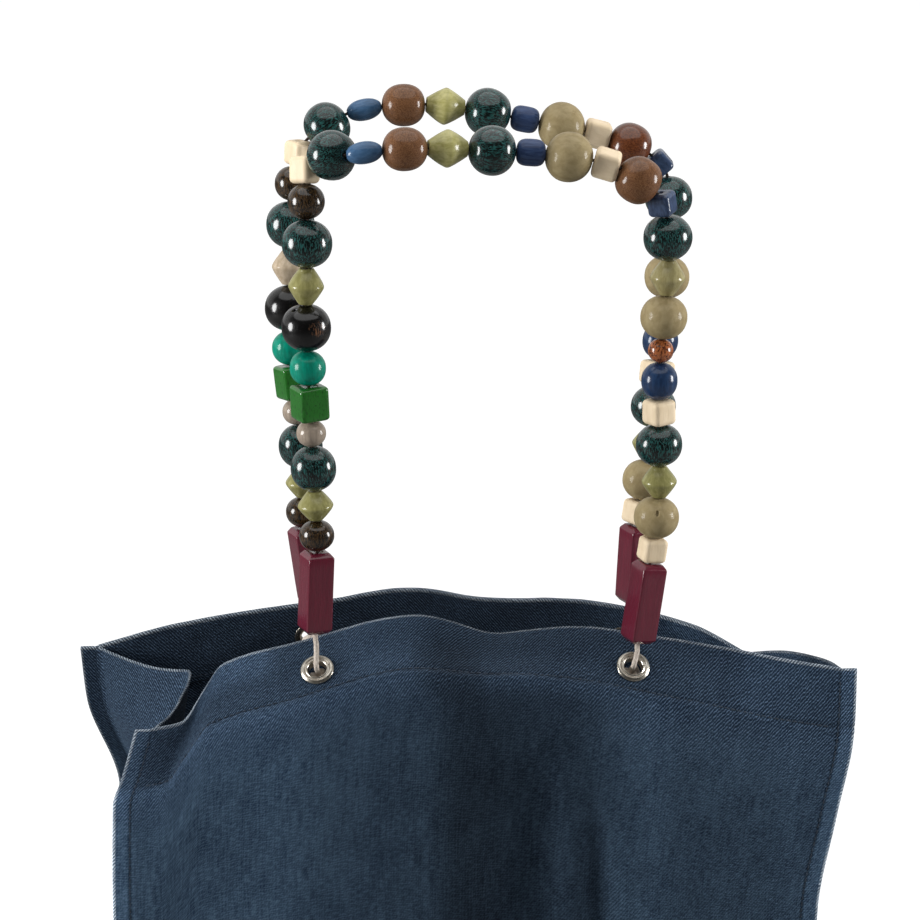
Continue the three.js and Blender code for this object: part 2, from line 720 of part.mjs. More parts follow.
const frontCloth = panelGeometry(frontPanel, frontColumns);
const backCloth = panelGeometry(backPanel, backColumns);
addPiece("front_panel", punched(frontCloth, [eyeletSeats.front_left, eyeletSeats.front_right]), "denim");
addPiece("back_panel", punched(backCloth, [eyeletSeats.back_left, eyeletSeats.back_right]), "denim");
addPiece("left_gusset", gussetGeometry(stitchLeft, edgeLeft, leftTuck), "denim");
addPiece("right_gusset", gussetGeometry(stitchRight, edgeRight, rightTuck), "denim");
addPiece("base", baseGeometry(), "denim");

for (const [place, seat] of Object.entries(eyeletSeats)) {
  const ring = addPiece(`${place}_eyelet`, latheAboutZ(eyeletOutline(), eyeletSides), "nickel");
  placeOn(ring, seat.centre, seat.outward, 0);
}

addHandle("front", frontRoute, frontRoom, eyeletSeats.front_left, eyeletSeats.front_right);
addHandle("back", backRoute, backRoom, eyeletSeats.back_left, eyeletSeats.back_right);

export default bag;
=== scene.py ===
import math

import bpy
import numpy as np
from mathutils import Matrix, Vector


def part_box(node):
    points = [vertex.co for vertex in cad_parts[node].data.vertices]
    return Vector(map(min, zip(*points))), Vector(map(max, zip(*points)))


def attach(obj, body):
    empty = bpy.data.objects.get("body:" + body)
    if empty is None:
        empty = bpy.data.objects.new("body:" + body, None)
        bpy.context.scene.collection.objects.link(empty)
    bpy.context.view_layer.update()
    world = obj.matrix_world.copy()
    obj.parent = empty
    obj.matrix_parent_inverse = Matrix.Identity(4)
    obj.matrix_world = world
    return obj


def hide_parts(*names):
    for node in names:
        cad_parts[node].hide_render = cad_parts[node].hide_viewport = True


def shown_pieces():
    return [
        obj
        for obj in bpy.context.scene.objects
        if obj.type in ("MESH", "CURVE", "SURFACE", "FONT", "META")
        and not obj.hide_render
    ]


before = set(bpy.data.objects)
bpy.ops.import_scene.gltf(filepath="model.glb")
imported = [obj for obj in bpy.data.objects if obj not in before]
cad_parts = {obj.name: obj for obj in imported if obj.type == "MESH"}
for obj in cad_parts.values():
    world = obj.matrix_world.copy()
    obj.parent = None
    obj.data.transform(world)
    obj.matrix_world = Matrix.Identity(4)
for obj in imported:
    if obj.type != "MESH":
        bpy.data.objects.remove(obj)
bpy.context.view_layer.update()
print("frame loaded,", len(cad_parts), "nodes")

mm = 0.001  # tables below are in millimetres, meshes in metres
upright = Vector((0, 0, 1))

# camera at the photograph's angle and frame
photoCamera = {
    "aim": (-0.0085, 0.0, -0.1735),
    "azimuth": -6.0,
    "elevation": 13.0,
    "distance": 2.3,
    "focalPixels": 4532.0,
    "imagePixels": 920.0,
    "sensorWidth": 36.0,
}


def directionAt(azimuth, elevation):
    turn = math.radians(azimuth)
    rise = math.radians(elevation)
    return Vector((math.sin(turn) * math.cos(rise), -math.cos(turn) * math.cos(rise), math.sin(rise)))


def addToScene(thing):
    bpy.context.scene.collection.objects.link(thing)
    return thing


def placeAround(thing, aim, azimuth, elevation, distance):
    thing.location = aim + distance * directionAt(azimuth, elevation)
    thing.rotation_euler = (aim - thing.location).to_track_quat("-Z", "Y").to_euler()


def addCamera(view):
    data = bpy.data.cameras.new("photoCamera")
    data.sensor_width = view["sensorWidth"]
    data.lens = view["sensorWidth"] * view["focalPixels"] / view["imagePixels"]
    camera = addToScene(bpy.data.objects.new("photoCamera", data))
    placeAround(camera, Vector(view["aim"]), view["azimuth"], view["elevation"], view["distance"])
    bpy.context.scene.camera = camera


addCamera(photoCamera)
bpy.context.scene.view_settings.view_transform = "Standard"
print("camera placed")


# small helpers for node trees: an input is a value or another node's socket
def setInputs(tree, node, inputs):
    for name, value in inputs.items():
        if isinstance(value, bpy.types.NodeSocket):
            tree.links.new(value, node.inputs[name])
        else:
            node.inputs[name].default_value = value


def addNode(tree, kind, inputs=None, **settings):
    made = tree.nodes.new(kind)
    for name, value in settings.items():
        setattr(made, name, value)
    setInputs(tree, made, inputs or {})
    return made


def calc(tree, operation, a, b=0.0):
    return addNode(tree, "ShaderNodeMath", {0: a, 1: b}, operation=operation).outputs[0]


def vectorCalc(tree, operation, a, b):
    return addNode(tree, "ShaderNodeVectorMath", {0: a, 1: b}, operation=operation).outputs[0]


def noiseAt(tree, place, scale=(1, 1, 1), detail=2.0, roughness=0.5, distortion=0.0):
    scaled = vectorCalc(tree, "MULTIPLY", place, scale)
    inputs = {"Vector": scaled, "Scale": 1.0, "Detail": detail, "Roughness": roughness,
              "Distortion": distortion}
    return addNode(tree, "ShaderNodeTexNoise", inputs).outputs[0]


def ramp(tree, value, low, high, toLow=0.0, toHigh=1.0):
    inputs = {0: value, 1: low, 2: high, 3: toLow, 4: toHigh}
    return addNode(tree, "ShaderNodeMapRange", inputs, interpolation_type="SMOOTHSTEP").outputs[0]


def mixColours(tree, share, first, second):
    inputs = {0: share, 6: first, 7: second}
    return addNode(tree, "ShaderNodeMix", inputs, data_type="RGBA").outputs[2]


def bumpFrom(tree, height, distance):
    return addNode(tree, "ShaderNodeBump", {"Height": height, "Distance": distance}).outputs[0]


def objectPlace(tree):
    return addNode(tree, "ShaderNodeTexCoord").outputs["Object"]


def newGroup(name, inputs, outputs):
    tree = bpy.data.node_groups.new(name, "ShaderNodeTree")
    for label, kind in inputs.items():
        tree.interface.new_socket(label, in_out="INPUT", socket_type="NodeSocket" + kind)
    for label, kind in outputs.items():
        tree.interface.new_socket(label, in_out="OUTPUT", socket_type="NodeSocket" + kind)
    given = tree.nodes.new("NodeGroupInput").outputs
    result = tree.nodes.new("NodeGroupOutput").inputs
    return tree, given, result


def useGroup(tree, group, inputs):
    return addNode(tree, "ShaderNodeGroup", inputs, node_tree=group).outputs


def paint(code):  # a hex colour as linear RGBA
    parts = [int(code[i:i + 2], 16) / 255 for i in (1, 3, 5)]
    linear = [p / 12.92 if p <= 0.04045 else ((p + 0.055) / 1.055) ** 2.4 for p in parts]
    return (*linear, 1.0)


def newMaterial(name):
    material = bpy.data.materials.new(name)
    material.use_nodes = True
    tree = material.node_tree
    return material, tree, tree.nodes["Principled BSDF"]


# shared shader effects
twillLines = {
    "pitch": 1.55,  # mm between lines along a row
    "slope": 0.72,  # how far a line leans for each mm of height
    "jitter": 1.1,
    "hemFades": (20.0, 80.0),  # mm below the rim where the hem's less worn twill gives way
    "rightClears": (170.0, 290.0),  # mm across, where the lines get clearer
    "leftClear": 0.45,
    "hemWeft": 3.7,
    "hemTone": 0.3,
}
paleMarks = [  # name, waves per mm across and down, detail, roughness, start, end, share of the tone
    ("streak", 1.2, 0.07, 3.0, 0.6, 0.38, 0.64, 0.28),
    ("band", 0.2, 0.016, 3.0, 0.5, 0.35, 0.68, 0.12),
    ("blotch", 0.022, 0.016, 3.0, 0.5, 0.3, 0.7, 0.22),
    ("cloud", 0.1, 0.07, 2.0, 0.5, 0.34, 0.66, 0.16),
    ("dash", 0.26, 1.6, 1.0, 0.5, 0.47, 0.6, 0.42),
]
toMillimetres = (1000, 1000, 1000)
flatMillimetres = (1000, 1000, 0)
seedSpread = (9000, 9000, 9000)  # gives each bead its own grain


def buildTwillWeave():
    inputs = {"Cloth": "Vector", "Warp": "Color", "Warp Pale": "Color", "Weft": "Color", "Weft Show": "Float"}
    outputs = {"Color": "Color", "Height": "Float", "Ridge": "Float"}
    tree, given, result = newGroup("twillWeave", inputs, outputs)
    cloth = vectorCalc(tree, "MULTIPLY", given["Cloth"], flatMillimetres)
    place = addNode(tree, "ShaderNodeSeparateXYZ", {0: cloth}).outputs
    jitter = calc(tree, "MULTIPLY", noiseAt(tree, cloth, (0.9, 0.14, 1)), twillLines["jitter"])
    leaning = calc(tree, "ADD", place[0], calc(tree, "MULTIPLY", place[1], twillLines["slope"]))
    phase = calc(tree, "ADD", calc(tree, "DIVIDE", leaning, twillLines["pitch"]), jitter)
    wave = calc(tree, "SINE", calc(tree, "MULTIPLY", phase, math.tau))
    crisp = ramp(tree, place[1], *twillLines["hemFades"], 1.0, 0.0)
    clear = ramp(tree, place[0], *twillLines["rightClears"], twillLines["leftClear"], 1.0)
    lines = calc(tree, "MAXIMUM", crisp, clear)
    twill = ramp(tree, wave, ramp(tree, crisp, 0.0, 1.0, -0.75, -0.1), 0.95)
    ridge = calc(tree, "MULTIPLY", twill, lines)
    fleck = ramp(tree, noiseAt(tree, cloth, (1.1, 0.75, 1), 1.0), 0.3, 0.68, 0.25, 1.0)
    marks = {}
    tone = 0.0
    for name, across, down, detail, roughness, starts, ends, share in paleMarks:
        noise = noiseAt(tree, cloth, (across, down, 1), detail, roughness)
        marks[name] = ramp(tree, noise, starts, ends)
        tone = calc(tree, "ADD", tone, calc(tree, "MULTIPLY", marks[name], share))
    tone = calc(tree, "MULTIPLY", tone, ramp(tree, crisp, 0.0, 1.0, 1.0, twillLines["hemTone"]))
    warp = mixColours(tree, tone, given["Warp"], given["Warp Pale"])
    hemWeft = ramp(tree, crisp, 0.0, 1.0, 1.0, twillLines["hemWeft"])
    weftShow = calc(tree, "MULTIPLY", given["Weft Show"], hemWeft)
    show = calc(tree, "MULTIPLY", calc(tree, "MULTIPLY", ridge, fleck), weftShow)
    shown = calc(tree, "MULTIPLY", show, ramp(tree, tone, 0.0, 1.0, 0.7, 1.1))
    streakHeight = calc(tree, "MULTIPLY", marks["streak"], 0.5)
    dashHeight = calc(tree, "MULTIPLY", marks["dash"], 0.4)
    threadHeight = calc(tree, "ADD", streakHeight, dashHeight)
    tree.links.new(mixColours(tree, shown, warp, given["Weft"]), result["Color"])
    tree.links.new(calc(tree, "ADD", ridge, threadHeight), result["Height"])
    tree.links.new(twill, result["Ridge"])
    return tree


def buildWornEdge():
    inputs = {"Color": "Color", "Pale": "Color", "Wear": "Float", "Ridge": "Float", "Cloth": "Vector"}
    tree, given, result = newGroup("wornEdge", inputs, {"Color": "Color"})
    cloth = vectorCalc(tree, "MULTIPLY", given["Cloth"], flatMillimetres)
    patch = ramp(tree, noiseAt(tree, cloth, (0.07, 0.07, 1), 2.0), 0.3, 0.62, 0.5, 1.0)
    tick = ramp(tree, given["Ridge"], 0.3, 0.8, 0.12, 1.0)
    worn = ramp(tree, given["Wear"], 0.25, 0.85)
    mask = calc(tree, "MULTIPLY", calc(tree, "MULTIPLY", worn, tick), patch)
    tree.links.new(mixColours(tree, mask, given["Color"], given["Pale"]), result["Color"])
    return tree


def buildWoodStreaks():
    inputs = {"Place": "Vector", "Seed": "Vector", "Across": "Float", "Along": "Float", "Low": "Float",
              "High": "Float"}
    tree, given, result = newGroup("woodStreaks", inputs, {"Streak": "Float", "Cloud": "Float"})
    seed = vectorCalc(tree, "MULTIPLY", given["Seed"], seedSpread)
    place = vectorCalc(tree, "ADD", vectorCalc(tree, "MULTIPLY", given["Place"], toMillimetres), seed)
    stretch = {0: given["Across"], 1: given["Across"], 2: given["Along"]}
    grain = vectorCalc(tree, "MULTIPLY", place, addNode(tree, "ShaderNodeCombineXYZ", stretch).outputs[0])
    fibre = noiseAt(tree, grain, (1, 1, 1), 3.0, 0.6, 0.35)
    tree.links.new(ramp(tree, fibre, given["Low"], given["High"]), result["Streak"])
    tree.links.new(ramp(tree, noiseAt(tree, place, (0.11, 0.11, 0.11), 2.0), 0.3, 0.7), result["Cloud"])
    return tree


def buildBlemish():
    inputs = {"Place": "Vector", "Centre": "Vector", "Reach": "Vector", "Ragged": "Float"}
    tree, given, result = newGroup("blemish", inputs, {"Mask": "Float"})
    aside = vectorCalc(tree, "SUBTRACT", given["Place"], given["Centre"])
    share = vectorCalc(tree, "DIVIDE", aside, given["Reach"])
    length = addNode(tree, "ShaderNodeVectorMath", {0: share}, operation="LENGTH").outputs["Value"]
    rough = calc(tree, "MULTIPLY", noiseAt(tree, given["Place"], (900, 900, 900), 2.0), given["Ragged"])
    tree.links.new(ramp(tree, calc(tree, "ADD", length, rough), 0.7, 1.1, 1.0, 0.0), result["Mask"])
    return tree


twillWeave = buildTwillWeave()
wornEdge = buildWornEdge()
woodStreaks = buildWoodStreaks()
blemish = buildBlemish()

# denim, its thread, the metal and the cord
denimLook = {
    "warp": paint("#19283c"),
    "warpPale": paint("#4c6379"),
    "weft": paint("#86a5c8"),
    "weftShow": 0.25,
    "edge": paint("#ccd8e3"),
    "bump": 0.00018,
    "roughness": 0.9,
    "sheen": 0.03,
}


def makeDenim(name, look):
    material, tree, shader = newMaterial(name)
    cloth = addNode(tree, "ShaderNodeUVMap", uv_map="clothMetres").outputs[0]
    weaveInputs = {"Cloth": cloth, "Warp": look["warp"], "Warp Pale": look["warpPale"], "Weft": look["weft"],
                   "Weft Show": look["weftShow"]}
    weave = useGroup(tree, twillWeave, weaveInputs)
    wear = addNode(tree, "ShaderNodeAttribute", attribute_name="edgeWear").outputs["Fac"]
    edgeInputs = {"Color": weave["Color"], "Pale": look["edge"], "Wear": wear, "Ridge": weave["Ridge"],
                  "Cloth": cloth}
    worn = useGroup(tree, wornEdge, edgeInputs)["Color"]
    # the cloth colour scaled by painted shade and light, and by the flanges' and gussets' tones
    tone = addNode(tree, "ShaderNodeAttribute", attribute_name="shadeAndTone").outputs["Fac"]
    colour = addNode(tree, "ShaderNodeVectorMath", {0: worn, "Scale": tone}, operation="SCALE").outputs[0]
    bump = bumpFrom(tree, weave["Height"], look["bump"])
    setInputs(tree, shader, {"Base Color": colour, "Normal": bump, "Roughness": look["roughness"],
                             "Sheen Weight": look["sheen"], "Sheen Roughness": 0.5,
                             "Specular IOR Level": 0.08})
    return material


def makeThread(name, dark, pale, roughness):
    material, tree, shader = newMaterial(name)
    place = objectPlace(tree)
    fibre = ramp(tree, noiseAt(tree, place, (2600, 2600, 900), 3.0, 0.65), 0.32, 0.7)
    bump = bumpFrom(tree, fibre, 0.00015)
    setInputs(tree, shader, {"Base Color": mixColours(tree, fibre, dark, pale), "Normal": bump,
                             "Roughness": roughness, "Sheen Weight": 0.2, "Specular IOR Level": 0.25})
    return material


def makeNickel(name):
    material, tree, shader = newMaterial(name)
    place = objectPlace(tree)
    smear = ramp(tree, noiseAt(tree, place, (260, 260, 260), 3.0, 0.6), 0.3, 0.72)
    scratch = ramp(tree, noiseAt(tree, place, (500, 4200, 1500), 2.0), 0.55, 0.7)
    colour = mixColours(tree, smear, paint("#a39c90"), paint("#cfcabf"))
    polish = ramp(tree, smear, 0.0, 1.0, 0.32, 0.24)
    roughness = calc(tree, "ADD", polish, calc(tree, "MULTIPLY", scratch, 0.06))
    bump = bumpFrom(tree, scratch, 0.000003)
    setInputs(tree, shader, {"Base Color": colour, "Roughness": roughness, "Metallic": 1.0, "Normal": bump})
    return material


denim = makeDenim("denim", denimLook)
seamThread = makeThread("seamThread", paint("#141e2a"), paint("#34475c"), 0.85)
cottonCord = makeThread("cottonCord", paint("#b9aa9c"), paint("#e6ddd2"), 0.8)
beadThread = makeThread("beadThread", paint("#241a14"), paint("#4d3d33"), 0.8)
nickel = makeNickel("nickel")

# stained wood: two stains, streaks per mm across and along the bore, where in the noise a streak starts and
# ends, the wood's roughness and the share of lacquer over it
lacquer = {"grainBump": 0.00006, "coatRoughness": 0.14, "specular": 0.08, "darkRougher": 0.08}
beadColumns = ("dark", "pale", "across", "along", "starts", "ends", "roughness", "lacquer")
beadLookRows = [  # name, then a value for each column
    ("burgundy", "#591a2a", "#661f30", 0.9, 0.09, 0.3, 0.72, 0.24, 1.0),
    ("teal", "#030d0c", "#235451", 1.7, 0.45, 0.49, 0.57, 0.3, 1.0),
    ("olive", "#817d4a", "#9b9763", 0.5, 0.05, 0.3, 0.7, 0.36, 0.65),
    # painted light: a paler copy of olive that brightens beads whose neighbours shade them from the side
    # lamps, partly their own lighter wood
    ("paintedLightOlive", "#a39e5f", "#bcb67c", 0.6, 0.05, 0.35, 0.65, 0.36, 0.65),
    ("wheat", "#8f8559", "#a39a6e", 0.5, 0.06, 0.3, 0.7, 0.36, 0.65),
    ("beige", "#a8977f", "#c0af98", 0.6, 0.06, 0.3, 0.7, 0.45, 0.25),
    ("tan", "#8d7d5a", "#a1926e", 0.3, 0.22, 0.25, 0.75, 0.5, 0.2),
    ("brown", "#5a3a23", "#7f583a", 2.4, 1.7, 0.38, 0.6, 0.42, 0.5),
    ("redBrown", "#4c2511", "#6e3d21", 1.6, 0.9, 0.36, 0.62, 0.3, 0.9),
    ("black", "#030303", "#0a0808", 1.2, 0.2, 0.35, 0.7, 0.3, 0.9),
    ("turquoise", "#00735d", "#008c74", 0.6, 0.1, 0.3, 0.7, 0.42, 0.4),
    ("green", "#12430f", "#226a20", 1.1, 0.5, 0.28, 0.5, 0.34, 1.0),
    ("blueRound", "#182b49", "#243d60", 0.8, 0.12, 0.3, 0.7, 0.36, 0.65),
    ("blueOval", "#375779", "#4a6c8f", 0.9, 0.2, 0.3, 0.72, 0.42, 0.5),
    ("blueBarrel", "#2d3d60", "#42567e", 0.8, 0.1, 0.3, 0.7, 0.42, 0.4),
    ("blueCube", "#2a374f", "#3d4e6c", 0.8, 0.3, 0.3, 0.7, 0.32, 0.8),
    ("cream", "#e0cbaa", "#ecd9bb", 0.4, 0.12, 0.25, 0.75, 0.5, 0.1),
    ("darkBrown", "#100a04", "#46331d", 1.3, 0.35, 0.43, 0.58, 0.3, 1.0),
    ("greige", "#8b7e71", "#a39585", 0.6, 0.1, 0.3, 0.7, 0.36, 0.6),
    ("orange", "#4a2210", "#b0663a", 1.0, 0.5, 0.4, 0.56, 0.3, 1.0),
]
beadLooks = {name: dict(zip(beadColumns, values)) for name, *values in beadLookRows}


def makeWood(name, look, marks=()):
    material, tree, shader = newMaterial(name)
    place = objectPlace(tree)
    seed = addNode(tree, "ShaderNodeObjectInfo").outputs["Location"]
    streakInputs = {"Place": place, "Seed": seed, "Across": look["across"], "Along": look["along"],
                    "Low": look["starts"], "High": look["ends"]}
    wood = useGroup(tree, woodStreaks, streakInputs)
    dark = paint(look["dark"])
    colour = mixColours(tree, wood["Streak"], dark, paint(look["pale"]))
    shade = ramp(tree, wood["Cloud"], 0.0, 1.0, 0.18, 0.0)
    colour = mixColours(tree, shade, colour, dark)
    roughness = ramp(tree, wood["Streak"], 0.0, 1.0, look["roughness"] + lacquer["darkRougher"],
                     look["roughness"])
    for mark in marks:
        markInputs = {"Place": place, "Centre": mark["centre"], "Reach": mark["reach"],
                      "Ragged": mark["ragged"]}
        mask = useGroup(tree, blemish, markInputs)["Mask"]
        if mark["scratched"]:
            mask = calc(tree, "MULTIPLY", mask, ramp(tree, wood["Streak"], 0.35, 0.75))
        colour = mixColours(tree, mask, colour, paint(mark["stain"]))
    bump = bumpFrom(tree, wood["Streak"], lacquer["grainBump"])
    setInputs(tree, shader, {"Base Color": colour, "Roughness": roughness, "Normal": bump,
                             "Coat Weight": look["lacquer"], "Coat Roughness": lacquer["coatRoughness"],
                             "Specular IOR Level": lacquer["specular"]})
    return material


beadWoods = {name: makeWood(name + "Wood", look) for name, look in beadLooks.items()}
print("materials made:", len(bpy.data.materials))


# meshes
def meshObject(name, points, faces, material):
    mesh = bpy.data.meshes.new(name)
    mesh.from_pydata(np.asarray(points).tolist(), [], [list(map(int, face)) for face in faces])
    mesh.materials.append(material)
    mesh.shade_smooth()
    return addToScene(bpy.data.objects.new(name, mesh))


def ringStack(rings, closed):
    loops, sides = rings.shape[:2]
    index = np.arange(loops * sides).reshape(loops, sides)
    after = np.roll(index, -1, axis=1)
    low, lowAfter = index[:-1], after[:-1]
    high, highAfter = index[1:], after[1:]
    faces = np.stack([low, lowAfter, highAfter, high], -1).reshape(-1, 4).tolist()
    if closed:
        faces += np.stack([index[-1], after[-1], after[0], index[0]], -1).tolist()
    else:
        faces += [index[0][::-1].tolist(), index[-1].tolist()]
    return rings.reshape(-1, 3), faces


def ringMesh(name, rings, closed, material):  # from rings in millimetres
    points, faces = ringStack(rings, closed)
    return meshObject(name, points * mm, faces, material)


def joinRows(rows):  # the points and faces of several meshes as one
    points, faces = [], []
    for rowPoints, rowFaces in rows:
        faces += [[corner + len(points) for corner in face] for face in rowFaces]
        points += rowPoints.tolist()
    return np.array(points), faces


def distancesAlong(path):
    steps = np.linalg.norm(np.diff(path, axis=0), axis=1)
    return np.concatenate([[0], np.cumsum(steps)])


def pointsAt(at, travelled, path):  # points at given distances along a path
    return np.stack([np.interp(at, travelled, path[:, i]) for i in range(3)], -1)


def tubeRings(path, radius, sides, strands=0, strandTwist=0.0, strandDepth=0.0):
    path = np.asarray(path, float)
    ahead = np.gradient(path, axis=0)
    ahead /= np.linalg.norm(ahead, axis=1, keepdims=True)
    side = np.cross(ahead[0], (0.3, 0.8, 0.5))
    travelled = distancesAlong(path)
    angles = np.arange(sides) * math.tau / sides
    rings = []
    for point, direction, along in zip(path, ahead, travelled):
        side = side - direction * (side @ direction)
        side /= np.linalg.norm(side)
        other = np.cross(direction, side)
        swell = 1 + strandDepth * np.cos(strands * angles - strandTwist * along)
        ring = np.outer(np.cos(angles) * swell, side) + np.outer(np.sin(angles) * swell, other)
        rings.append(point + radius * ring)
    return np.array(rings)


def curveThrough(rows, column):  # a smooth value through table rows that never swings past them
    keys = np.array([row[0] for row in rows], float)
    values = np.array([row[column] for row in rows], float)
    rise = np.diff(values) / np.diff(keys)
    before = np.concatenate([rise[:1], rise])
    after = np.concatenate([rise, rise[-1:]])
    agree = before * after > 0
    slopes = np.where(agree, 2 * before * after / np.where(agree, before + after, 1), 0)

    def valueAt(at):
        at = np.clip(at, keys[0], keys[-1])
        i = np.clip(np.searchsorted(keys, at, side="right") - 1, 0, len(rise) - 1)
        span = keys[i + 1] - keys[i]
        t = (at - keys[i]) / span
        settle = t * t * (3 - 2 * t)
        leave = t * (1 - t) ** 2 * span * slopes[i]
        arrive = t * t * (1 - t) * span * slopes[i + 1]
        return values[i] + (values[i + 1] - values[i]) * settle + leave - arrive

    return valueAt


def smoothStep(value, low, high):
    t = np.clip((value - low) / (high - low), 0, 1)
    return t * t * (3 - 2 * t)


def blend(low, high, share):
    return low + (high - low) * share


def bell(value, width):
    return np.exp(-(value / width) ** 2)


def ripple(u, v, wavelength, seed, waves=9, stretch=1.0):  # seeded soft waves over the cloth
    draw = np.random.default_rng(seed)
    total = 0
    for _ in range(waves):
        angle = draw.uniform(0, math.tau)
        pace = math.tau / (wavelength * draw.uniform(0.6, 1.7))
        start = draw.uniform(0, math.tau)
        total = total + np.sin(pace * (u * math.cos(angle) + v * math.sin(angle) / stretch) + start)
    return total / math.sqrt(waves)


def surfaceNormals(points):
    normals = np.cross(np.gradient(points, axis=1), np.gradient(points, axis=0))
    return normals / np.linalg.norm(normals, axis=2, keepdims=True)


# cloth
cloth = {
    "thickness": 1.2,
    "height": 345.0,
    "baseZ": -605.0,
    "flange": 8.0,
    "seamGap": 0.3,
    "sewnShare": 0.06,
}
hem = {
    "depth": 34.0,
    "thickness": 2.4,
    "leanShare": 0.75,
    "ownLean": 5.0,
    "fadeLength": 30.0,
    "steepest": 0.95,
    "stitchDown": 31.0,
    "stitchGroove": 0.55,
    "puckerDepth": 0.28,
    "puckerPitch": 7.5,
}
frontPanel = {
    "name": "front_panel",
    "inward": 1,
    "seed": 11,
    "rim": [  # share across, height, lean into the bag
        (0.0, -299, 2), (0.042, -297, 5), (0.075, -283, 13), (0.105, -271, 20), (0.22, -261, 24),
        (0.38, -250, 29), (0.52, -262, 35), (0.61, -258, 30), (0.8, -266, 19), (0.92, -273, 9),
        (1.0, -277, 3),
    ],
    "leftSeam": [(0, -168, -44), (25, -175, -49), (40, -180, -54), (95, -181, -57), (345, -166, -57)],
    "rightSeam": [(0, 181, -48), (34, 179, -52), (78, 170, -56), (130, 160.5, -58), (345, 154, -57)],
    "folds": [  # x, width to the left and right, depth, where below the rim it starts, is full and ends
        (24, 46, 30, 12, 26, 115, 335),
        (42, 7, 8, -3, 50, 130, 300),
        (57, 6, 10, 4, 60, 140, 300),
        (-120, 30, 34, 3, 40, 130, 320),
    ],
    "paintedShadeAndLight": [  # x, width to the left and right, amount, where it starts and ends below the rim, how softly; an amount above 0 is painted shade, below 0 painted light
        (8, 34, 56, 0.48, 26, 400, 20),
        (-45, 50, 60, 0.27, 10, 400, 50),
        (120, 70, 200, 0.08, 10, 400, 30),
        (175, 30, 60, 0.15, 10, 400, 30),
        (14, 70, 80, 0.2, -9, 400, 12),
        (-48, 24, 22, -0.4, -9, 28, 8),
        (-18, 18, 16, 0.34, 4, 36, 16),
        (-131, 20, 24, -0.8, -9, 6, 14),
        (122, 32, 26, 0.28, 29, 400, 8),
        (155, 26, 40, -0.3, -9, 28, 8),
    ],
    "eyelets": {"left": 0.253, "right": 0.7065},
}
backPanel = {
    "name": "back_panel",
    "inward": -1,
    "seed": 23,
    "rim": [
        (0.0, -278, 0), (0.1, -268, 3), (0.22, -260, 6), (0.31, -255, 10), (0.48, -248, 11),
        (0.6, -255, 9), (0.71, -256, 9), (0.83, -264, 6), (0.92, -274, 3), (1.0, -290, 0),
    ],
    "leftSeam": [(0, -193, 43), (30, -190, 46), (80, -174, 50), (345, -166, 57)],
    "rightSeam": [(0, 146, 39), (50, 150, 46), (345, 154, 57)],
    "folds": [(-8, 48, 40, 9, 30, 120, 330), (108, 18, 22, 4, 40, 140, 310)],
    # painted shade along the back panel's fold
    "paintedShadeAndLight": [(-8, 60, 50, 0.2, 30, 400, 70)],
    "eyelets": {"left": 0.319, "right": 0.799},
}


def preparePanel(panel):
    panel["rimZ"] = curveThrough(panel["rim"], 1)
    panel["lean"] = curveThrough(panel["rim"], 2)
    for side in ("left", "right"):
        panel[side + "X"] = curveThrough(panel[side + "Seam"], 1)
        panel[side + "Y"] = curveThrough(panel[side + "Seam"], 2)


def leanLeft(down):
    inHem = 1 - hem["leanShare"] * down / hem["depth"]
    below = (1 - hem["leanShare"]) * np.exp((hem["depth"] - down) / hem["fadeLength"])
    return np.where(down < hem["depth"], inHem, below)


def foldDepth(folds, x, down):
    total = 0
    for foldX, left, right, depth, starts, full, ends in folds:
        width = np.where(x < foldX, left, right)
        grown = smoothStep(down, starts, full) * (1 - smoothStep(down, full, ends))
        total = total + depth * grown * bell(x - foldX, width)
    return total


def panelPoint(panel, across, past, down):  # outer face: share across, reach past the seam, length down
    lean = panel["lean"](across)
    hemFall = np.minimum((hem["leanShare"] * lean + hem["ownLean"]) / hem["depth"], hem["steepest"])
    hemDrop = np.sqrt(1 - hemFall ** 2)
    drop = np.minimum(down, hem["depth"]) * hemDrop + np.maximum(down - hem["depth"], 0)
    fullDrop = hem["depth"] * hemDrop + cloth["height"] - hem["depth"]
    x = blend(panel["leftX"](down), panel["rightX"](down), across) + past
    sewnEdge = smoothStep(across, 0, cloth["sewnShare"]) * smoothStep(1 - across, 0, cloth["sewnShare"])
    inwards = lean * leanLeft(down) + foldDepth(panel["folds"], x, down) * sewnEdge
    y = blend(panel["leftY"](down), panel["rightY"](down), across) + panel["inward"] * inwards
    z = blend(panel["rimZ"](across), cloth["baseZ"], drop / fullDrop)
    return np.stack(np.broadcast_arrays(x, y, z), -1)


preparePanel(frontPanel)
preparePanel(backPanel)


# rows and columns are closer together at the rim, the hem's stitch line and the seams
def clothRows():
    rim = [0, 0.45, 0.95, 1.6, 2.6]
    upper = np.arange(4.4, 28, 2.1)
    stitch = np.arange(28.6, 38, 0.7)
    lower = np.linspace(39.5, cloth["height"], 124)
    return np.concatenate([rim, upper, stitch, lower])


def flangeColumns():
    return np.array([0, 0.45, 0.95, 1.7, 3.0, 4.6, 6.0, 6.9]) - cloth["flange"]


def panelColumns():
    flange = flangeColumns()
    seam = [0, 0.002, 0.0045, 0.0075]
    middle = np.linspace(0.012, 0.988, 146)
    inside = np.concatenate([seam, middle, 1 - np.array(seam[::-1])])
    across = np.concatenate([np.zeros(len(flange)), inside, np.ones(len(flange))])
    past = np.concatenate([flange, np.zeros(len(inside)), -flange[::-1]])
    return across, past


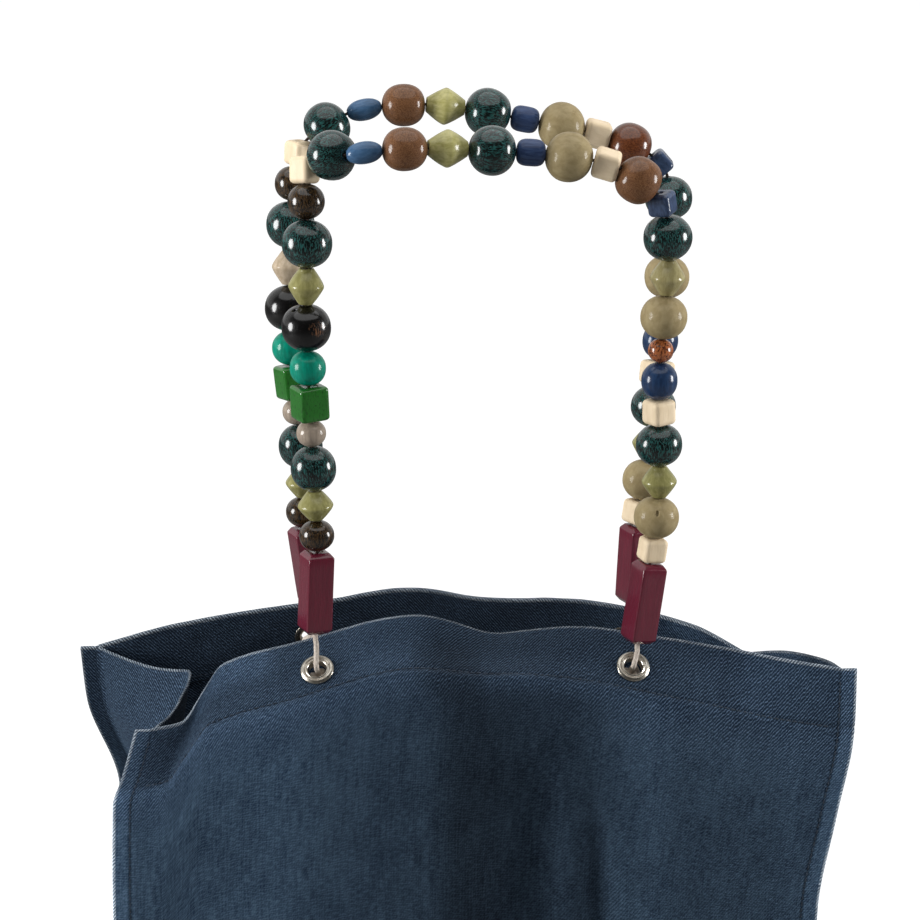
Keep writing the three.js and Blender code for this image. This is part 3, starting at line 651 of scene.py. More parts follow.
def closedSheet(name, outer, inner, outerUv, innerUv, wear, outerTone, innerTone):  # its edges rounded
    turns = 4
    rows, columns = outer.shape[:2]
    count = rows * columns
    grid = np.arange(count).reshape(rows, columns)
    border = np.concatenate([grid[0, :-1], grid[:-1, -1], grid[-1, :0:-1], grid[:0:-1, 0]])
    borderRow, borderColumn = border // columns, border % columns
    inside = grid[np.clip(borderRow, 1, rows - 2), np.clip(borderColumn, 1, columns - 2)]
    outerFlat, innerFlat = outer.reshape(-1, 3), inner.reshape(-1, 3)
    outerUv, innerUv, wear = outerUv.reshape(-1, 2), innerUv.reshape(-1, 2), wear.reshape(-1)
    middle = (outerFlat + innerFlat) / 2
    half = (outerFlat - innerFlat)[border] / 2
    halfLength = np.linalg.norm(half, axis=1, keepdims=True)
    reach = middle[border] - middle[inside]
    reach -= half * (np.sum(reach * half, axis=1, keepdims=True) / halfLength ** 2)
    reach *= halfLength / np.linalg.norm(reach, axis=1, keepdims=True)
    uvReach = outerUv[border] - outerUv[inside]
    uvReach *= halfLength * mm / np.linalg.norm(uvReach, axis=1, keepdims=True)
    points, ringUv = [outerFlat, innerFlat], [outerUv[border]]
    for k in range(1, turns + 1):
        angle = math.pi * (0.5 - k / (turns + 1))
        points.append(middle[border] + math.cos(angle) * reach + math.sin(angle) * half)
        ringUv.append(outerUv[border] + uvReach * (math.pi * k / (turns + 1)))
    ringUv.append(outerUv[border] + uvReach * math.pi)
    edgeLoops = [2 * count + len(border) * k + np.arange(len(border)) for k in range(turns)]
    loops = [border, *edgeLoops, border + count]
    quads = np.stack([grid[:-1, :-1], grid[1:, :-1], grid[1:, 1:], grid[:-1, 1:]], -1).reshape(-1, 4)
    faces, uvs = [quads, quads[:, ::-1] + count], [outerUv[quads], innerUv[quads[:, ::-1]]]
    for near, far, nearUv, farUv in zip(loops, loops[1:], ringUv, ringUv[1:]):
        faces.append(np.stack([near, np.roll(near, -1), np.roll(far, -1), far], -1))
        uvs.append(np.stack([nearUv, np.roll(nearUv, -1, 0), np.roll(farUv, -1, 0), farUv], 1))
    sheet = meshObject(name, np.concatenate(points) * mm, np.concatenate(faces), denim)
    layer = sheet.data.uv_layers.new(name="clothMetres")
    layer.uv.foreach_set("vector", np.concatenate(uvs).astype(np.float32).ravel())
    outerTone = np.broadcast_to(outerTone, (rows, columns)).reshape(-1)
    innerTone = np.broadcast_to(innerTone, (rows, columns)).reshape(-1)
    # the tone attribute holds painted shade and light along with the flanges' and gussets' tones
    for label, onOuter, onInner in (("edgeWear", wear, wear), ("shadeAndTone", outerTone, innerTone)):
        values = np.concatenate([onOuter, onInner, np.tile(onOuter[border], turns)])
        attribute = sheet.data.attributes.new(label, "FLOAT", "POINT")
        attribute.data.foreach_set("value", values.astype(np.float32))
    return sheet


def faceUvs(u, v, thickness):  # places in the weave of the outer face, and of the inner one past the edge
    turnOver = 1.5 * thickness * mm
    return np.stack([u, v], -1), np.stack([u, -v - turnOver], -1)


clothWaves = {  # height and wavelength in mm, and how much longer a wave is down the cloth
    "drape": (0.55, 70, 2.2),
    "crumple": (0.16, 24, 1.6),
    "rim": (0.5, 46, 0.7),
    "puckerDrift": (1.4, 30, 1.0),
    "gussetDrape": (0.7, 55, 2.0),
    "gussetCrumple": (0.2, 20, 1.0),
    "base": (0.5, 60, 1.0),
}
grooves = {
    "seamDepth": 0.62,
    "seamWidth": 0.9,
    "stitchWidth": 0.9,
    "hemStep": 0.22,
    "hemStepWidth": 6,
    "panelWidth": 350,
}


def clothWave(kind, seed, u, v):
    height, wavelength, stretch = clothWaves[kind]
    return height * ripple(u, v, wavelength, seed, stretch=stretch)


def clothRelief(panel, x, down, across, past, eyeletSeats):  # waves of both faces, grooves of the outer one
    seed = panel["seed"]
    fromSeam = np.abs(past) + np.minimum(across, 1 - across) * grooves["panelWidth"]
    loose = smoothStep(fromSeam, 2, 30)
    waves = clothWave("drape", seed, x, down) * smoothStep(down, 20, 90)
    waves = waves + clothWave("crumple", seed + 1, x, down)
    waves = waves + clothWave("rim", seed + 2, x, down) * bell(down, 26)
    pucker = np.sin(math.tau * x / hem["puckerPitch"] + clothWave("puckerDrift", seed + 3, x, down))
    waves = waves + hem["puckerDepth"] * pucker * bell(down - hem["stitchDown"] - 3, 9)
    for centre in eyeletSeats:
        aside = np.hypot(x - centre[0], (down - eyelet["down"]) * 0.9)
        loose = loose * smoothStep(aside, eyelet["face"] * 0.9, eyelet["face"] * 2.2)
    sewn = bell(down - hem["stitchDown"], grooves["stitchWidth"]) * smoothStep(fromSeam, 0, 3)
    step = smoothStep(down, hem["depth"] - 0.6, hem["depth"] + 0.8)
    step = step * bell(down - hem["depth"], grooves["hemStepWidth"])
    seam = bell(fromSeam, grooves["seamWidth"])
    groove = hem["stitchGroove"] * sewn + grooves["hemStep"] * step + grooves["seamDepth"] * seam
    return waves * loose, groove


wearWidth = {"rim": 0.8, "flange": 0.9, "gussetFlange": 0.7}
weaveShift = {"gusset": 0.5, "base": 1.0}  # metres, so that no two sheets show the same weave
# how much lighter or darker parts of the cloth are: the darker hem and the dark inside are painted shade, the
# inside's lighter right end is painted light; the flanges are lighter and the gussets darker
clothShadeAndTone = {"hem": 0.57, "flange": 1.5, "inside": 0.44, "insideRightLit": 1.6, "gusset": 0.55}


def panelTone(panel, x, down):
    # painted shade: the hem darker than the cloth below it
    tone = blend(clothShadeAndTone["hem"], 1, smoothStep(down, hem["stitchDown"] - 1, hem["depth"] + 2))
    # each patch scales the cloth colour: painted shade where it darkens, painted light where it lightens
    for patchX, left, right, amount, starts, ends, soft in panel["paintedShadeAndLight"]:
        aside = (x - patchX) / np.where(x < patchX, left, right)
        within = smoothStep(down, starts, starts + soft) * (1 - smoothStep(down, ends, ends + soft))
        tone = tone * (1 - amount * within * np.exp(-aside ** 6))
    return tone


def panelSheet(panel, seats):
    across, past = panelColumns()
    down = clothRows()[:, None]
    base = panelPoint(panel, across, past, down)
    outward = surfaceNormals(base)
    outward *= np.sign(-panel["inward"] * outward[..., 1].mean())
    seatPoints = [seat["centre"] for seat in seats]
    waves, groove = clothRelief(panel, base[..., 0], down, across, past, seatPoints)
    isFlange = past != 0
    hemmed = 1 - smoothStep(down, hem["depth"], hem["depth"] + 1.1)
    thickness = cloth["thickness"] + (hem["thickness"] - cloth["thickness"]) * hemmed * ~isFlange
    outer = base + outward * (waves - groove)[..., None]
    inner = base + outward * (waves - thickness)[..., None]
    width = panel["rightX"](0) - panel["leftX"](0)
    u = np.broadcast_to(across * width + past, base.shape[:2]) * mm
    v = np.broadcast_to(down, base.shape[:2]) * mm
    outerUv, innerUv = faceUvs(u, v, hem["thickness"])
    fromSide = cloth["flange"] - np.abs(past)
    wear = np.maximum(bell(down, wearWidth["rim"]), isFlange * bell(fromSide, wearWidth["flange"]))
    wear = np.broadcast_to(wear, base.shape[:2]).copy()
    outerTone = panelTone(panel, base[..., 0], down) * np.where(isFlange, clothShadeAndTone["flange"], 1)
    # painted shade over the inner faces, with painted light towards their right end
    innerTone = clothShadeAndTone["inside"] * (1 + clothShadeAndTone["insideRightLit"] * smoothStep(across, 0.72, 0.95))
    return closedSheet(panel["name"], outer, inner, outerUv, innerUv, wear, outerTone, innerTone)


# eyelets
eyelet = {
    "hole": 4.5,
    "barrel": 5.1,
    "face": 8.5,
    "washer": 8.0,
    "metal": 0.8,
    "seatGap": 0.5,
    "down": 19.0,
    "flat": 0.03,
    "sides": 72,
    "cutRadius": 5.6,
}


def unit(vector):
    return vector / np.linalg.norm(vector)


def eyeletSeat(panel, across):  # the plane of the hem between the columns beside the eyelet
    left, right = across - eyelet["flat"], across + eyelet["flat"]
    topLeft = panelPoint(panel, left, 0, 0.0)
    topRight = panelPoint(panel, right, 0, 0.0)
    footLeft = panelPoint(panel, left, 0, hem["depth"])
    footRight = panelPoint(panel, right, 0, hem["depth"])
    top, foot = (topLeft + topRight) / 2, (footLeft + footRight) / 2
    along = topRight - topLeft + footRight - footLeft
    outward = unit(np.cross(along, top - foot)) * panel["inward"]
    return {"centre": blend(top, foot, eyelet["down"] / hem["depth"]), "outward": outward}


def standOn(thing, centre, direction, turn=0.0):
    aim = upright.rotation_difference(Vector(direction)).to_matrix().to_4x4()
    spin = Matrix.Rotation(math.radians(turn), 4, "Z")
    thing.matrix_world = Matrix.Translation(Vector(centre) * mm) @ aim @ spin
    return thing


def latheRings(profile, sides):
    angles = np.arange(sides) * math.tau / sides
    circle = np.stack([np.cos(angles), np.sin(angles), np.zeros(sides)], -1)
    return np.array([circle * radius + (0, 0, height) for radius, height in profile])


def smoothOutline(corners, perCorner=5, share=0.32):  # rounds each corner of a closed outline
    corners = np.array(corners, float)
    points = []
    for i, corner in enumerate(corners):
        before = blend(corner, corners[i - 1], share)
        after = blend(corner, corners[(i + 1) % len(corners)], share)
        for t in np.linspace(0, 1, perCorner):
            points.append((1 - t) ** 2 * before + 2 * t * (1 - t) * corner + t * t * after)
    return points


def eyeletOutline():
    back = -hem["thickness"] - eyelet["seatGap"]
    lip = eyelet["seatGap"] + eyelet["metal"]
    return smoothOutline([
        (eyelet["hole"], back - 0.2),
        (eyelet["hole"] + 0.5, back - 1.1),
        (eyelet["washer"] - 1.2, back - 0.9),
        (eyelet["washer"], back - 0.35),
        (eyelet["washer"], back),
        (eyelet["barrel"], back),
        (eyelet["barrel"], 0.15),
        (eyelet["face"], 0.1),
        (eyelet["face"] - 0.1, 0.75),
        (eyelet["face"] - 1.5, lip + 0.35),
        (eyelet["face"] - 2.6, lip - 0.25),
        (eyelet["hole"] + 0.75, lip + 0.3),
        (eyelet["hole"], lip - 0.5),
    ])


def addEyelet(place, seat):
    rings = latheRings(eyeletOutline(), eyelet["sides"])
    ring = standOn(ringMesh(place + "_ring", rings, True, nickel), seat["centre"], seat["outward"])
    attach(ring, "root")
    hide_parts(place + "_eyelet")


def punchHoles(sheet, seats):  # open the cloth inside each eyelet
    for seat in seats:
        reach = 4 * hem["thickness"]
        rings = latheRings([(eyelet["cutRadius"], -reach), (eyelet["cutRadius"], reach)], 40)
        punch = standOn(ringMesh("punch", rings, False, denim), seat["centre"], seat["outward"])
        cut = sheet.modifiers.new("punch", "BOOLEAN")
        cut.operation = "DIFFERENCE"
        cut.solver = "EXACT"
        cut.object = punch
        bpy.context.view_layer.objects.active = sheet
        bpy.ops.object.modifier_apply(modifier=cut.name)
        bpy.data.objects.remove(punch)


frontSeats = {side: eyeletSeat(frontPanel, across) for side, across in frontPanel["eyelets"].items()}
backSeats = {side: eyeletSeat(backPanel, across) for side, across in backPanel["eyelets"].items()}


# sewing
stitch = {
    "length": 2.5,
    "pitch": 3.2,
    "radius": 0.32,
    "sides": 6,
    "lift": 0.1,
    "bow": 0.22,
    "lineSteps": 500,
    "seamDepth": 0.6,
}


def stitchRow(path, outward):  # short bowed threads along a line on the cloth, as points and faces
    travelled = distancesAlong(path)
    starts = np.arange(stitch["pitch"], travelled[-1] - stitch["pitch"], stitch["pitch"])
    shares = np.array([0.0, 0.12, 0.35, 0.65, 0.88, 1.0])
    slim = np.array([0.25, 0.8, 1.0, 1.0, 0.8, 0.25])
    bowed = stitch["lift"] + stitch["bow"] * np.sin(math.pi * shares)
    threads = []
    for start in starts:
        at = start + shares * stitch["length"]
        line = pointsAt(at, travelled, path) + pointsAt(at, travelled, outward) * bowed[:, None]
        rings = tubeRings(line, 1.0, stitch["sides"])
        rings = line[:, None] + (rings - line[:, None]) * (stitch["radius"] * slim)[:, None, None]
        threads.append(ringStack(rings, closed=False))
    return joinRows(threads)


def panelLine(panel, across, past, down, depth):  # a line below the outer face, with normals
    step = 0.8
    reach = 0.003
    line = panelPoint(panel, across, past, down)
    left = panelPoint(panel, np.maximum(across - reach, 0), past - 0.3, down)
    right = panelPoint(panel, np.minimum(across + reach, 1), past + 0.3, down)
    above = panelPoint(panel, across, past, np.maximum(down - step, 0))
    below = panelPoint(panel, across, past, np.minimum(down + step, cloth["height"]))
    outward = np.cross(right - left, above - below)
    outward /= np.linalg.norm(outward, axis=1, keepdims=True)
    outward *= np.sign(-panel["inward"] * outward[:, 1:2])
    return line - outward * depth, outward


def panelStitches(panel):
    steps = stitch["lineSteps"]
    across = np.linspace(0.006, 0.994, steps)
    down = np.linspace(3.0, cloth["height"] - 3, steps)
    still = np.zeros(steps)
    rows = []
    for depth, facing in ((hem["stitchGroove"], 1), (hem["thickness"], -1)):
        hemLine, outward = panelLine(panel, across, still, still + hem["stitchDown"], depth)
        rows.append(stitchRow(hemLine, outward * facing))
    for share in (0.0, 1.0):
        seamLine, outward = panelLine(panel, still + share, still, down, stitch["seamDepth"])
        rows.append(stitchRow(seamLine, outward))
    points, faces = joinRows(rows)
    return meshObject(panel["name"] + "_stitches", points * mm, faces, seamThread)


def addPanel(panel, seats):
    sheet = panelSheet(panel, list(seats.values()))
    punchHoles(sheet, seats.values())
    stitches = panelStitches(panel)
    side = panel["name"].split("_")[0]
    sheet.name = side + "_denim"
    for piece in (sheet, stitches):
        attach(piece, "root")
    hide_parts(panel["name"])


for side, seats in (("front", frontSeats), ("back", backSeats)):
    for end, seat in seats.items():
        addEyelet(side + "_" + end, seat)
addPanel(frontPanel, frontSeats)
addPanel(backPanel, backSeats)
print("panels, eyelets and stitches made")

# side gussets, folded inwards at the mouth
leftGusset = {
    "name": "left_gusset",
    "side": -1,
    "seed": 37,
    "bulge": 3.0,
    # painted shade inside the bag
    "inside": clothShadeAndTone["inside"],
    "tuck": [  # down, tuck of the middle, lift
        (0, 34, 8), (40, 31, 5), (100, 22, 2), (200, 9, 0), (345, 0, 0),
    ],
}
rightGusset = {
    "name": "right_gusset",
    "side": 1,
    "seed": 41,
    "bulge": 0.0,
    "inside": 0.95,  # paler than the left one's
    "tuck": [(0, -4, 4), (60, -5, 2), (200, -4, 0), (345, 0, 0)],
}
gussetFold = {"columns": 62, "crease": 0.045, "frontSag": 0.7, "backSag": 1.3, "sagEnds": (10, 110)}


def behindPanel(panel, share, past, down):  # points a seam's gap behind a panel
    count = np.full(len(down), share, float)
    depth = cloth["thickness"] + cloth["seamGap"]
    return panelLine(panel, count, np.full(len(down), past, float), down, depth)[0]


def gussetSheet(gusset):
    down = clothRows()
    share = 0.0 if gusset["side"] < 0 else 1.0
    flange = flangeColumns()
    tuck = curveThrough(gusset["tuck"], 1)(down)
    lift = curveThrough(gusset["tuck"], 2)(down)
    bulge = gusset["bulge"] * (1 - smoothStep(down, *gussetFold["sagEnds"]))
    front = behindPanel(frontPanel, share, 0, down)
    back = behindPanel(backPanel, share, 0, down)
    columns = [behindPanel(frontPanel, share, past * -gusset["side"], down) for past in flange]
    columns.append(front)
    crease = gussetFold["crease"]
    for part in np.linspace(0, 1, gussetFold["columns"])[1:-1]:
        tent = 1 - (math.hypot(2 * part - 1, crease) - crease)
        bow = 4 * part * (1 - part)
        folded = np.where(tuck > 0, tent, bow)
        point = blend(front, back, part)
        point[:, 0] -= gusset["side"] * tuck * folded
        point[:, 2] += lift * folded
        frontHalf = bulge * math.sin(math.tau * min(part, 0.5))
        backHalf = bulge * math.sin(math.tau * (max(part, 0.5) - 0.5))
        point += np.outer(frontHalf, (-gusset["side"], 0, -gussetFold["frontSag"]))
        point[:, 2] -= gussetFold["backSag"] * backHalf
        columns.append(point)
    columns.append(back)
    columns += [behindPanel(backPanel, share, past * -gusset["side"], down) for past in flange[::-1]]
    inner = np.stack(columns, 1)
    flat = distancesAlong(inner[len(down) // 2])
    outward = surfaceNormals(inner)
    outward *= np.sign(gusset["side"] * outward[:, 20:-20, 0].mean())
    isWall = np.zeros(len(flat))
    isWall[len(flange) + 1:-len(flange) - 1] = 1
    fromSeam = np.minimum(np.abs(flat - cloth["flange"]), np.abs(flat[-1] - cloth["flange"] - flat))
    waves = clothWave("gussetDrape", gusset["seed"], flat[None], down[:, None])
    waves = waves + clothWave("gussetCrumple", gusset["seed"] + 1, flat[None], down[:, None])
    waves = waves * smoothStep(fromSeam, 3, 22)
    inner = inner + outward * (waves * isWall)[..., None]
    outer = inner + outward * cloth["thickness"]
    u = np.broadcast_to(flat, inner.shape[:2]) * mm + weaveShift["gusset"]
    v = np.broadcast_to(down[:, None], inner.shape[:2]) * mm
    fromSide = np.minimum(flat, flat[-1] - flat)
    sideWear = bell(fromSide, wearWidth["gussetFlange"])
    wear = np.maximum(bell(down[:, None], wearWidth["rim"]), sideWear[None])
    outerUv, innerUv = faceUvs(u, v, cloth["thickness"])
    return closedSheet(gusset["name"], outer, inner, outerUv, innerUv, wear, clothShadeAndTone["gusset"], gusset["inside"])


def addGusset(gusset):
    sheet = gussetSheet(gusset)
    sheet.name = gusset["name"].replace("gusset", "side_denim")
    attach(sheet, "root")
    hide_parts(gusset["name"])


baseCloth = {"columns": 120, "rows": 44, "seed": 53}


def addBase():
    low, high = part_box("base")
    across = np.linspace(low.x, high.x, baseCloth["columns"]) / mm
    deep = np.linspace(low.y, high.y, baseCloth["rows"]) / mm
    x, y = np.meshgrid(across, deep)
    edge = np.minimum(np.minimum(x - across[0], across[-1] - x), np.minimum(y - deep[0], deep[-1] - y))
    waves = clothWave("base", baseCloth["seed"], x, y) * smoothStep(edge, 2, 30)
    inner = np.stack([x, y, np.full(x.shape, high.z / mm) + waves], -1)
    outer = inner - (0, 0, cloth["thickness"])
    uv = np.stack([x, y], -1) * mm + weaveShift["base"]
    # painted shade on the base's inner face
    sheet = closedSheet("base_denim", outer, inner, uv, uv, np.zeros(x.shape), 1.0, clothShadeAndTone["inside"])
    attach(sheet, "root")
    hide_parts("base")


addGusset(leftGusset)
addGusset(rightGusset)
addBase()
print("gussets and base made")

# bead strings
string = {
    "boreRadius": 1.2,
    "cordRadius": 1.3,
    "threadRadius": 0.8,
    "knotRadius": 5.5,
    "knotCord": 1.6,
    "knotSides": 10,
    "cordSides": 12,
    "threadSides": 8,
    "reach": 3.75,
    "slack": 0.6,
    "inBlock": 6.0,
    "cordStep": 0.9,
    "threadStep": 1.2,
    "wobble": 0.006,
    "routeSteps": 200,
    "endSteps": 16,
    "biconeEnd": 0.2,
    "bow": np.array([0.5, -0.3, 0.0]),
}
cordTwist = {"strands": 3, "strandTwist": 1.6, "strandDepth": 0.07}
beadRows = [  # name, form, length on the thread, width across it, turn, look
    ("block_left", "block", 42, 13.8, 18, "burgundy"),
    ("spacer_1", "round", 15.4, 17.6, 0, "darkBrown"),
    ("olive_1", "bicone", 14.8, 17.8, 0, "olive"),
    ("teal_1", "round", 22.4, 22.8, 0, "teal"),
    ("spacer_2", "round", 13, 14.8, 0, "greige"),
    ("green_cube", "cube", 17.2, 15.4, 20, "green"),
    ("turquoise", "round", 17, 18.2, 0, "turquoise"),
    ("black", "round", 23, 24.6, 0, "black"),
    ("olive_2", "bicone", 17.8, 17.6, 0, "olive"),
    ("teal_2", "round", 23.6, 24.8, 0, "teal"),
    ("spacer_3", "round", 17.2, 18.4, 0, "darkBrown"),
    ("spacer_4", "cube", 11, 10.8, 48, "cream"),
    ("teal_3", "round", 22.4, 24.8, 0, "teal"),
    ("spacer_5", "round", 17.6, 11.2, 0, "blueOval"),
    ("brown_1", "plump", 21.8, 21.6, 0, "brown"),
    ("olive_3", "bicone", 19.7, 19, 0, "olive"),
    ("teal_4", "round", 23.2, 24.8, 0, "teal"),
    ("spacer_6", "barrel", 14.2, 13.4, 0, "blueBarrel"),
    ("tan_1", "round", 23.2, 24.8, 0, "tan"),
    ("spacer_7", "cube", 13, 13.4, 2, "cream"),
    ("brown_2", "plump", 21.6, 23.4, 0, "brown"),
    ("spacer_8", "cube", 11.6, 12, 0, "blueCube"),
    ("teal_5", "round", 22.4, 24.4, 0, "teal"),
    ("olive_4", "bicone", 17.6, 17.6, 0, "olive"),
    ("tan_2", "round", 21.6, 23.4, 0, "tan"),
    ("spacer_9", "round", 11.6, 12.8, 0, "orange"),
    ("blue_round", "round", 18.6, 18.4, 0, "blueRound"),
    ("spacer_10", "cube", 12.2, 14, 29, "cream"),
    ("teal_6", "round", 21.2, 23.4, 0, "teal"),
    ("olive_5", "bicone", 16.2, 17.6, 0, "olive"),
    ("tan_3", "round", 20.8, 23, 0, "tan"),
    ("spacer_11", "cube", 12.4, 14, 24, "cream"),
    ("block_right", "block", 42, 13.8, 41, "burgundy"),
]
frontRoom = {  # gap before every bead, and what is added before some
    "each": 0.3, "teal_3": 6.8, "spacer_5": 0.1, "spacer_7": 0.2, "brown_2": 0.4, "spacer_8": 1.3,
    "teal_5": 1.4, "block_right": 0.2,
}
backRoom = {
    "each": 0.45, "spacer_4": 0.9, "teal_3": 3.6, "spacer_5": 0.6, "spacer_8": 1.4, "teal_5": 1.5,
    "block_right": 0.4,
}
repainted = {
    # the olive_3 beads take the paler olive, painted light for their shaded cones
    "back_olive_2": "beige", "front_olive_3": "paintedLightOlive", "back_olive_3": "paintedLightOlive",
    "front_olive_4": "wheat", "back_brown_2": "redBrown",
}
refitted = {  # squares that sit askew on the thread, or are larger than the other handle's
    "front_spacer_8": {"axis": (0.16, 0.1, -0.98), "turn": 6},
    "front_spacer_4": {"size": (13.4, 11.8), "slide": 1.2},
    "back_spacer_4": {"axis": (0.06, 0.0, 1.0), "turn": 40, "size": (12.2, 11.8), "slide": 0.8},
    "front_spacer_10": {"size": (12.6, 13.0), "turn": 14},
    "front_spacer_11": {"size": (12.4, 12.2), "turn": 26},
}
beadMarks = {  # hollows and scuffs, by their direction from the bead's middle, with their half sizes in mm
    "front_tan_3": [
        {"towards": (-0.1, -0.91, 0.4), "wide": 1.0, "tall": 2.7, "deep": 1.5, "stain": "#1d1109"},
    ],
    "front_black": [
        {"towards": (-0.495, -0.307, 0.811), "wide": 1.2, "tall": 3.4, "deep": 2.4, "stain": "#020202"},
        {"towards": (0.42, -0.88, 0.1), "wide": 6.5, "tall": 5.5, "deep": 0, "stain": "#6b4a33"},
    ],
    "back_tan_1": [
        {"towards": (0.45, -0.55, 0.7), "wide": 0.6, "tall": 1.7, "deep": 0.6, "stain": "#2a1a10"},
    ],
}
frontRoute = [
    (-85.5, -34, -252.5), (-84, -35.5, -215), (-86, -38.5, -165.5), (-88.5, -41.5, -114),
    (-89.5, -43, -73.5), (-87.5, -43, -53), (-88.5, -39.5, -33), (-89, -36.5, -23), (-89, -34.5, -13.5),
    (-83.5, -35.5, -10.5), (-76.5, -45.5, -9), (-70.5, -54.5, -7.5), (-61.5, -57, -6), (-41, -54, -4.5),
    (3.5, -50, -7), (41, -50, -10.5), (59, -51.5, -14.5), (74.5, -54.5, -20.5), (82, -52.5, -27.5),
    (87.5, -49, -36), (90, -45.5, -51.5), (90.5, -44.5, -72.5), (87, -42, -116.5), (87.5, -39.5, -157),
    (88, -37.5, -188), (85.5, -35.5, -211.5), (76, -33, -278.5),
]
backRoute = [
    (-79.5, 45, -258), (-86, 40.5, -213), (-85.5, 39, -190), (-89.5, 39.5, -146), (-92, 40.5, -121.5),
    (-92, 42, -99), (-89.5, 46, -41), (-87, 47.5, -22.5), (-80, 48, -14), (-71.5, 48.5, -8), (-53, 49, 0),
    (-33.5, 49, 1), (-12.5, 49, 1), (29.5, 48.5, -7), (68.5, 48, -15.5), (84.5, 47.5, -21), (97, 47.5, -28),
    (103, 47, -36), (104.5, 44.5, -69), (99.5, 40.5, -124), (91.5, 36, -195.5), (88, 36.5, -220),
    (86, 40, -265.5), (85.5, 43, -285),
]


def smoothRoute(points, perSpan):  # centripetal curve through the points
    points = np.array(points, float)
    padded = np.vstack([2 * points[0] - points[1], points, 2 * points[-1] - points[-2]])
    made = []
    for a, b, c, d in zip(padded, padded[1:], padded[2:], padded[3:]):
        before, here, after = (max(np.linalg.norm(q - p) ** 0.5, 1e-4) for p, q in ((a, b), (b, c), (c, d)))
        leave = ((b - a) / before - (c - a) / (before + here) + (c - b) / here) * here
        arrive = ((c - b) / here - (d - b) / (here + after) + (d - c) / after) * here
        t = np.linspace(0, 1, perSpan, endpoint=False)[:, None]
        made.append((2 * t ** 3 - 3 * t ** 2 + 1) * b + (t ** 3 - 2 * t ** 2 + t) * leave
                    + (3 * t ** 2 - 2 * t ** 3) * c + (t ** 3 - t ** 2) * arrive)
    return np.vstack([*made, padded[-2]])


def strungBeads(route, room):  # each bead's start, end and row, walked along the route by straight steps
    line = smoothRoute(route, string["routeSteps"])
    spot, at, beads = 0, line[0], []
    for i, row in enumerate(beadRows):
        gap = 0 if i == 0 else room["each"] + room.get(row[0], 0)
        while spot < len(line) - 1 and np.linalg.norm(line[spot] - at) < gap:
            spot += 1
        start = line[spot]
        while spot < len(line) - 1 and np.linalg.norm(line[spot] - start) < row[2]:
            spot += 1
        at = line[spot]
        beads.append((row, start, at))
    return beads


def drilled(profile, along):  # adds the bore to an outer profile of radius and height
    bore = string["boreRadius"]
    lip = [(bore + 0.3, along / 2 - 0.08), (bore, along / 2 - 0.6)]
    return [(r, -z) for r, z in reversed(lip)] + list(profile) + lip


def roundProfile(along, across, rings, fullness=2.1):  # an oval, squarer the fuller it is
    endRadius = string["boreRadius"] + 0.05 * across
    endAngle = math.acos((2 * endRadius / across) ** (fullness / 2))
    angles = np.linspace(-endAngle, endAngle, rings)
    radius = np.cos(angles) ** (2 / fullness) * across / 2
    rise = np.sign(angles) * np.abs(np.sin(angles) / math.sin(endAngle)) ** (2 / fullness)
    return drilled(zip(radius, rise * along / 2), along)


def biconeProfile(along, across, rings):
    endRadius = string["biconeEnd"] * across
    nose = 0.09
    share = np.linspace(-1, 1, rings)
    slope = (np.sqrt(share ** 2 + nose ** 2) - nose) / (math.sqrt(1 + nose ** 2) - nose)
    radius = across / 2 + (endRadius - across / 2) * slope + 0.25 * np.sin(math.pi * np.abs(share))
    return drilled(zip(radius, share * along / 2), along)


def roundedSquare(half, corner):
    inset = half - corner
    points = []
    for side in range(4):
        turn = side * math.pi / 2
        for share in np.linspace(-1, 1, 8)[:-1]:
            points.append((half, share * inset, turn))
        for angle in np.linspace(0, math.pi / 2, 7)[:-1]:
            points.append((inset + corner * math.cos(angle), inset + corner * math.sin(angle), turn))
    x, y, turn = np.array(points).T
    return np.stack([x * np.cos(turn) - y * np.sin(turn), x * np.sin(turn) + y * np.cos(turn)], -1)


def blockRings(along, across, edge, bevel):  # a square bar with rounded or bevelled ends
    half, length, bore = across / 2, along / 2, string["boreRadius"]
    outline = roundedSquare(half, edge)
    bearing = outline / np.linalg.norm(outline, axis=1, keepdims=True)
    turn = np.linspace(0, math.pi / 2, 7)
    ends = np.stack([edge * (1 - np.sin(turn)), edge * (1 - np.cos(turn))], -1)
    if bevel:
        ends = np.array([(1.0, 0.0), (0.8, 0.05), (0.2, 0.75), (0.05, 0.95), (0.0, 1.15)]) * bevel
    levels = [(bearing * bore, length - 0.8), (bearing * (bore + 0.4), length - 0.05)]
    levels.append((roundedSquare((half - ends[0, 0]) * 0.75, edge * 0.5), length))
    for inset, fall in ends:
        levels.append((roundedSquare(half - inset, max(edge - 0.4 * inset, 0.4)), length - fall))
    walls = [(outline, z) for z in np.linspace(length - ends[-1, 1], ends[-1, 1] - length, 9)[1:-1]]
    levels = levels + walls + [(ring, -z) for ring, z in reversed(levels)]
    return np.array([np.column_stack([ring, np.full(len(ring), z)]) for ring, z in levels])


beadForms = {
    "round": lambda along, across, fine: latheRings(roundProfile(along, across, 24 * fine), 44 * fine),
    "plump": lambda along, across, fine: latheRings(roundProfile(along, across, 30, 2.25), 48),
    "bicone": lambda along, across, fine: latheRings(biconeProfile(along, across, 41), 48),
    "barrel": lambda along, across, fine: latheRings(roundProfile(along, across, 36, 3.4), 48),
    "block": lambda along, across, fine: blockRings(along, across, 0.9, 2.4),
    "cube": lambda along, across, fine: blockRings(along, across, 1.9 if along > 15 else 2.3, 0),
}


def handTurned(points, amount, seed):  # no wooden bead is quite true
    x, y, z = points.T
    wobble = ripple(x + 0.6 * z, y - 0.5 * z, 22, seed, waves=6)
    length = np.maximum(np.linalg.norm(points, axis=1, keepdims=True), 1e-6)
    return points + points / length * (amount * wobble)[:, None]


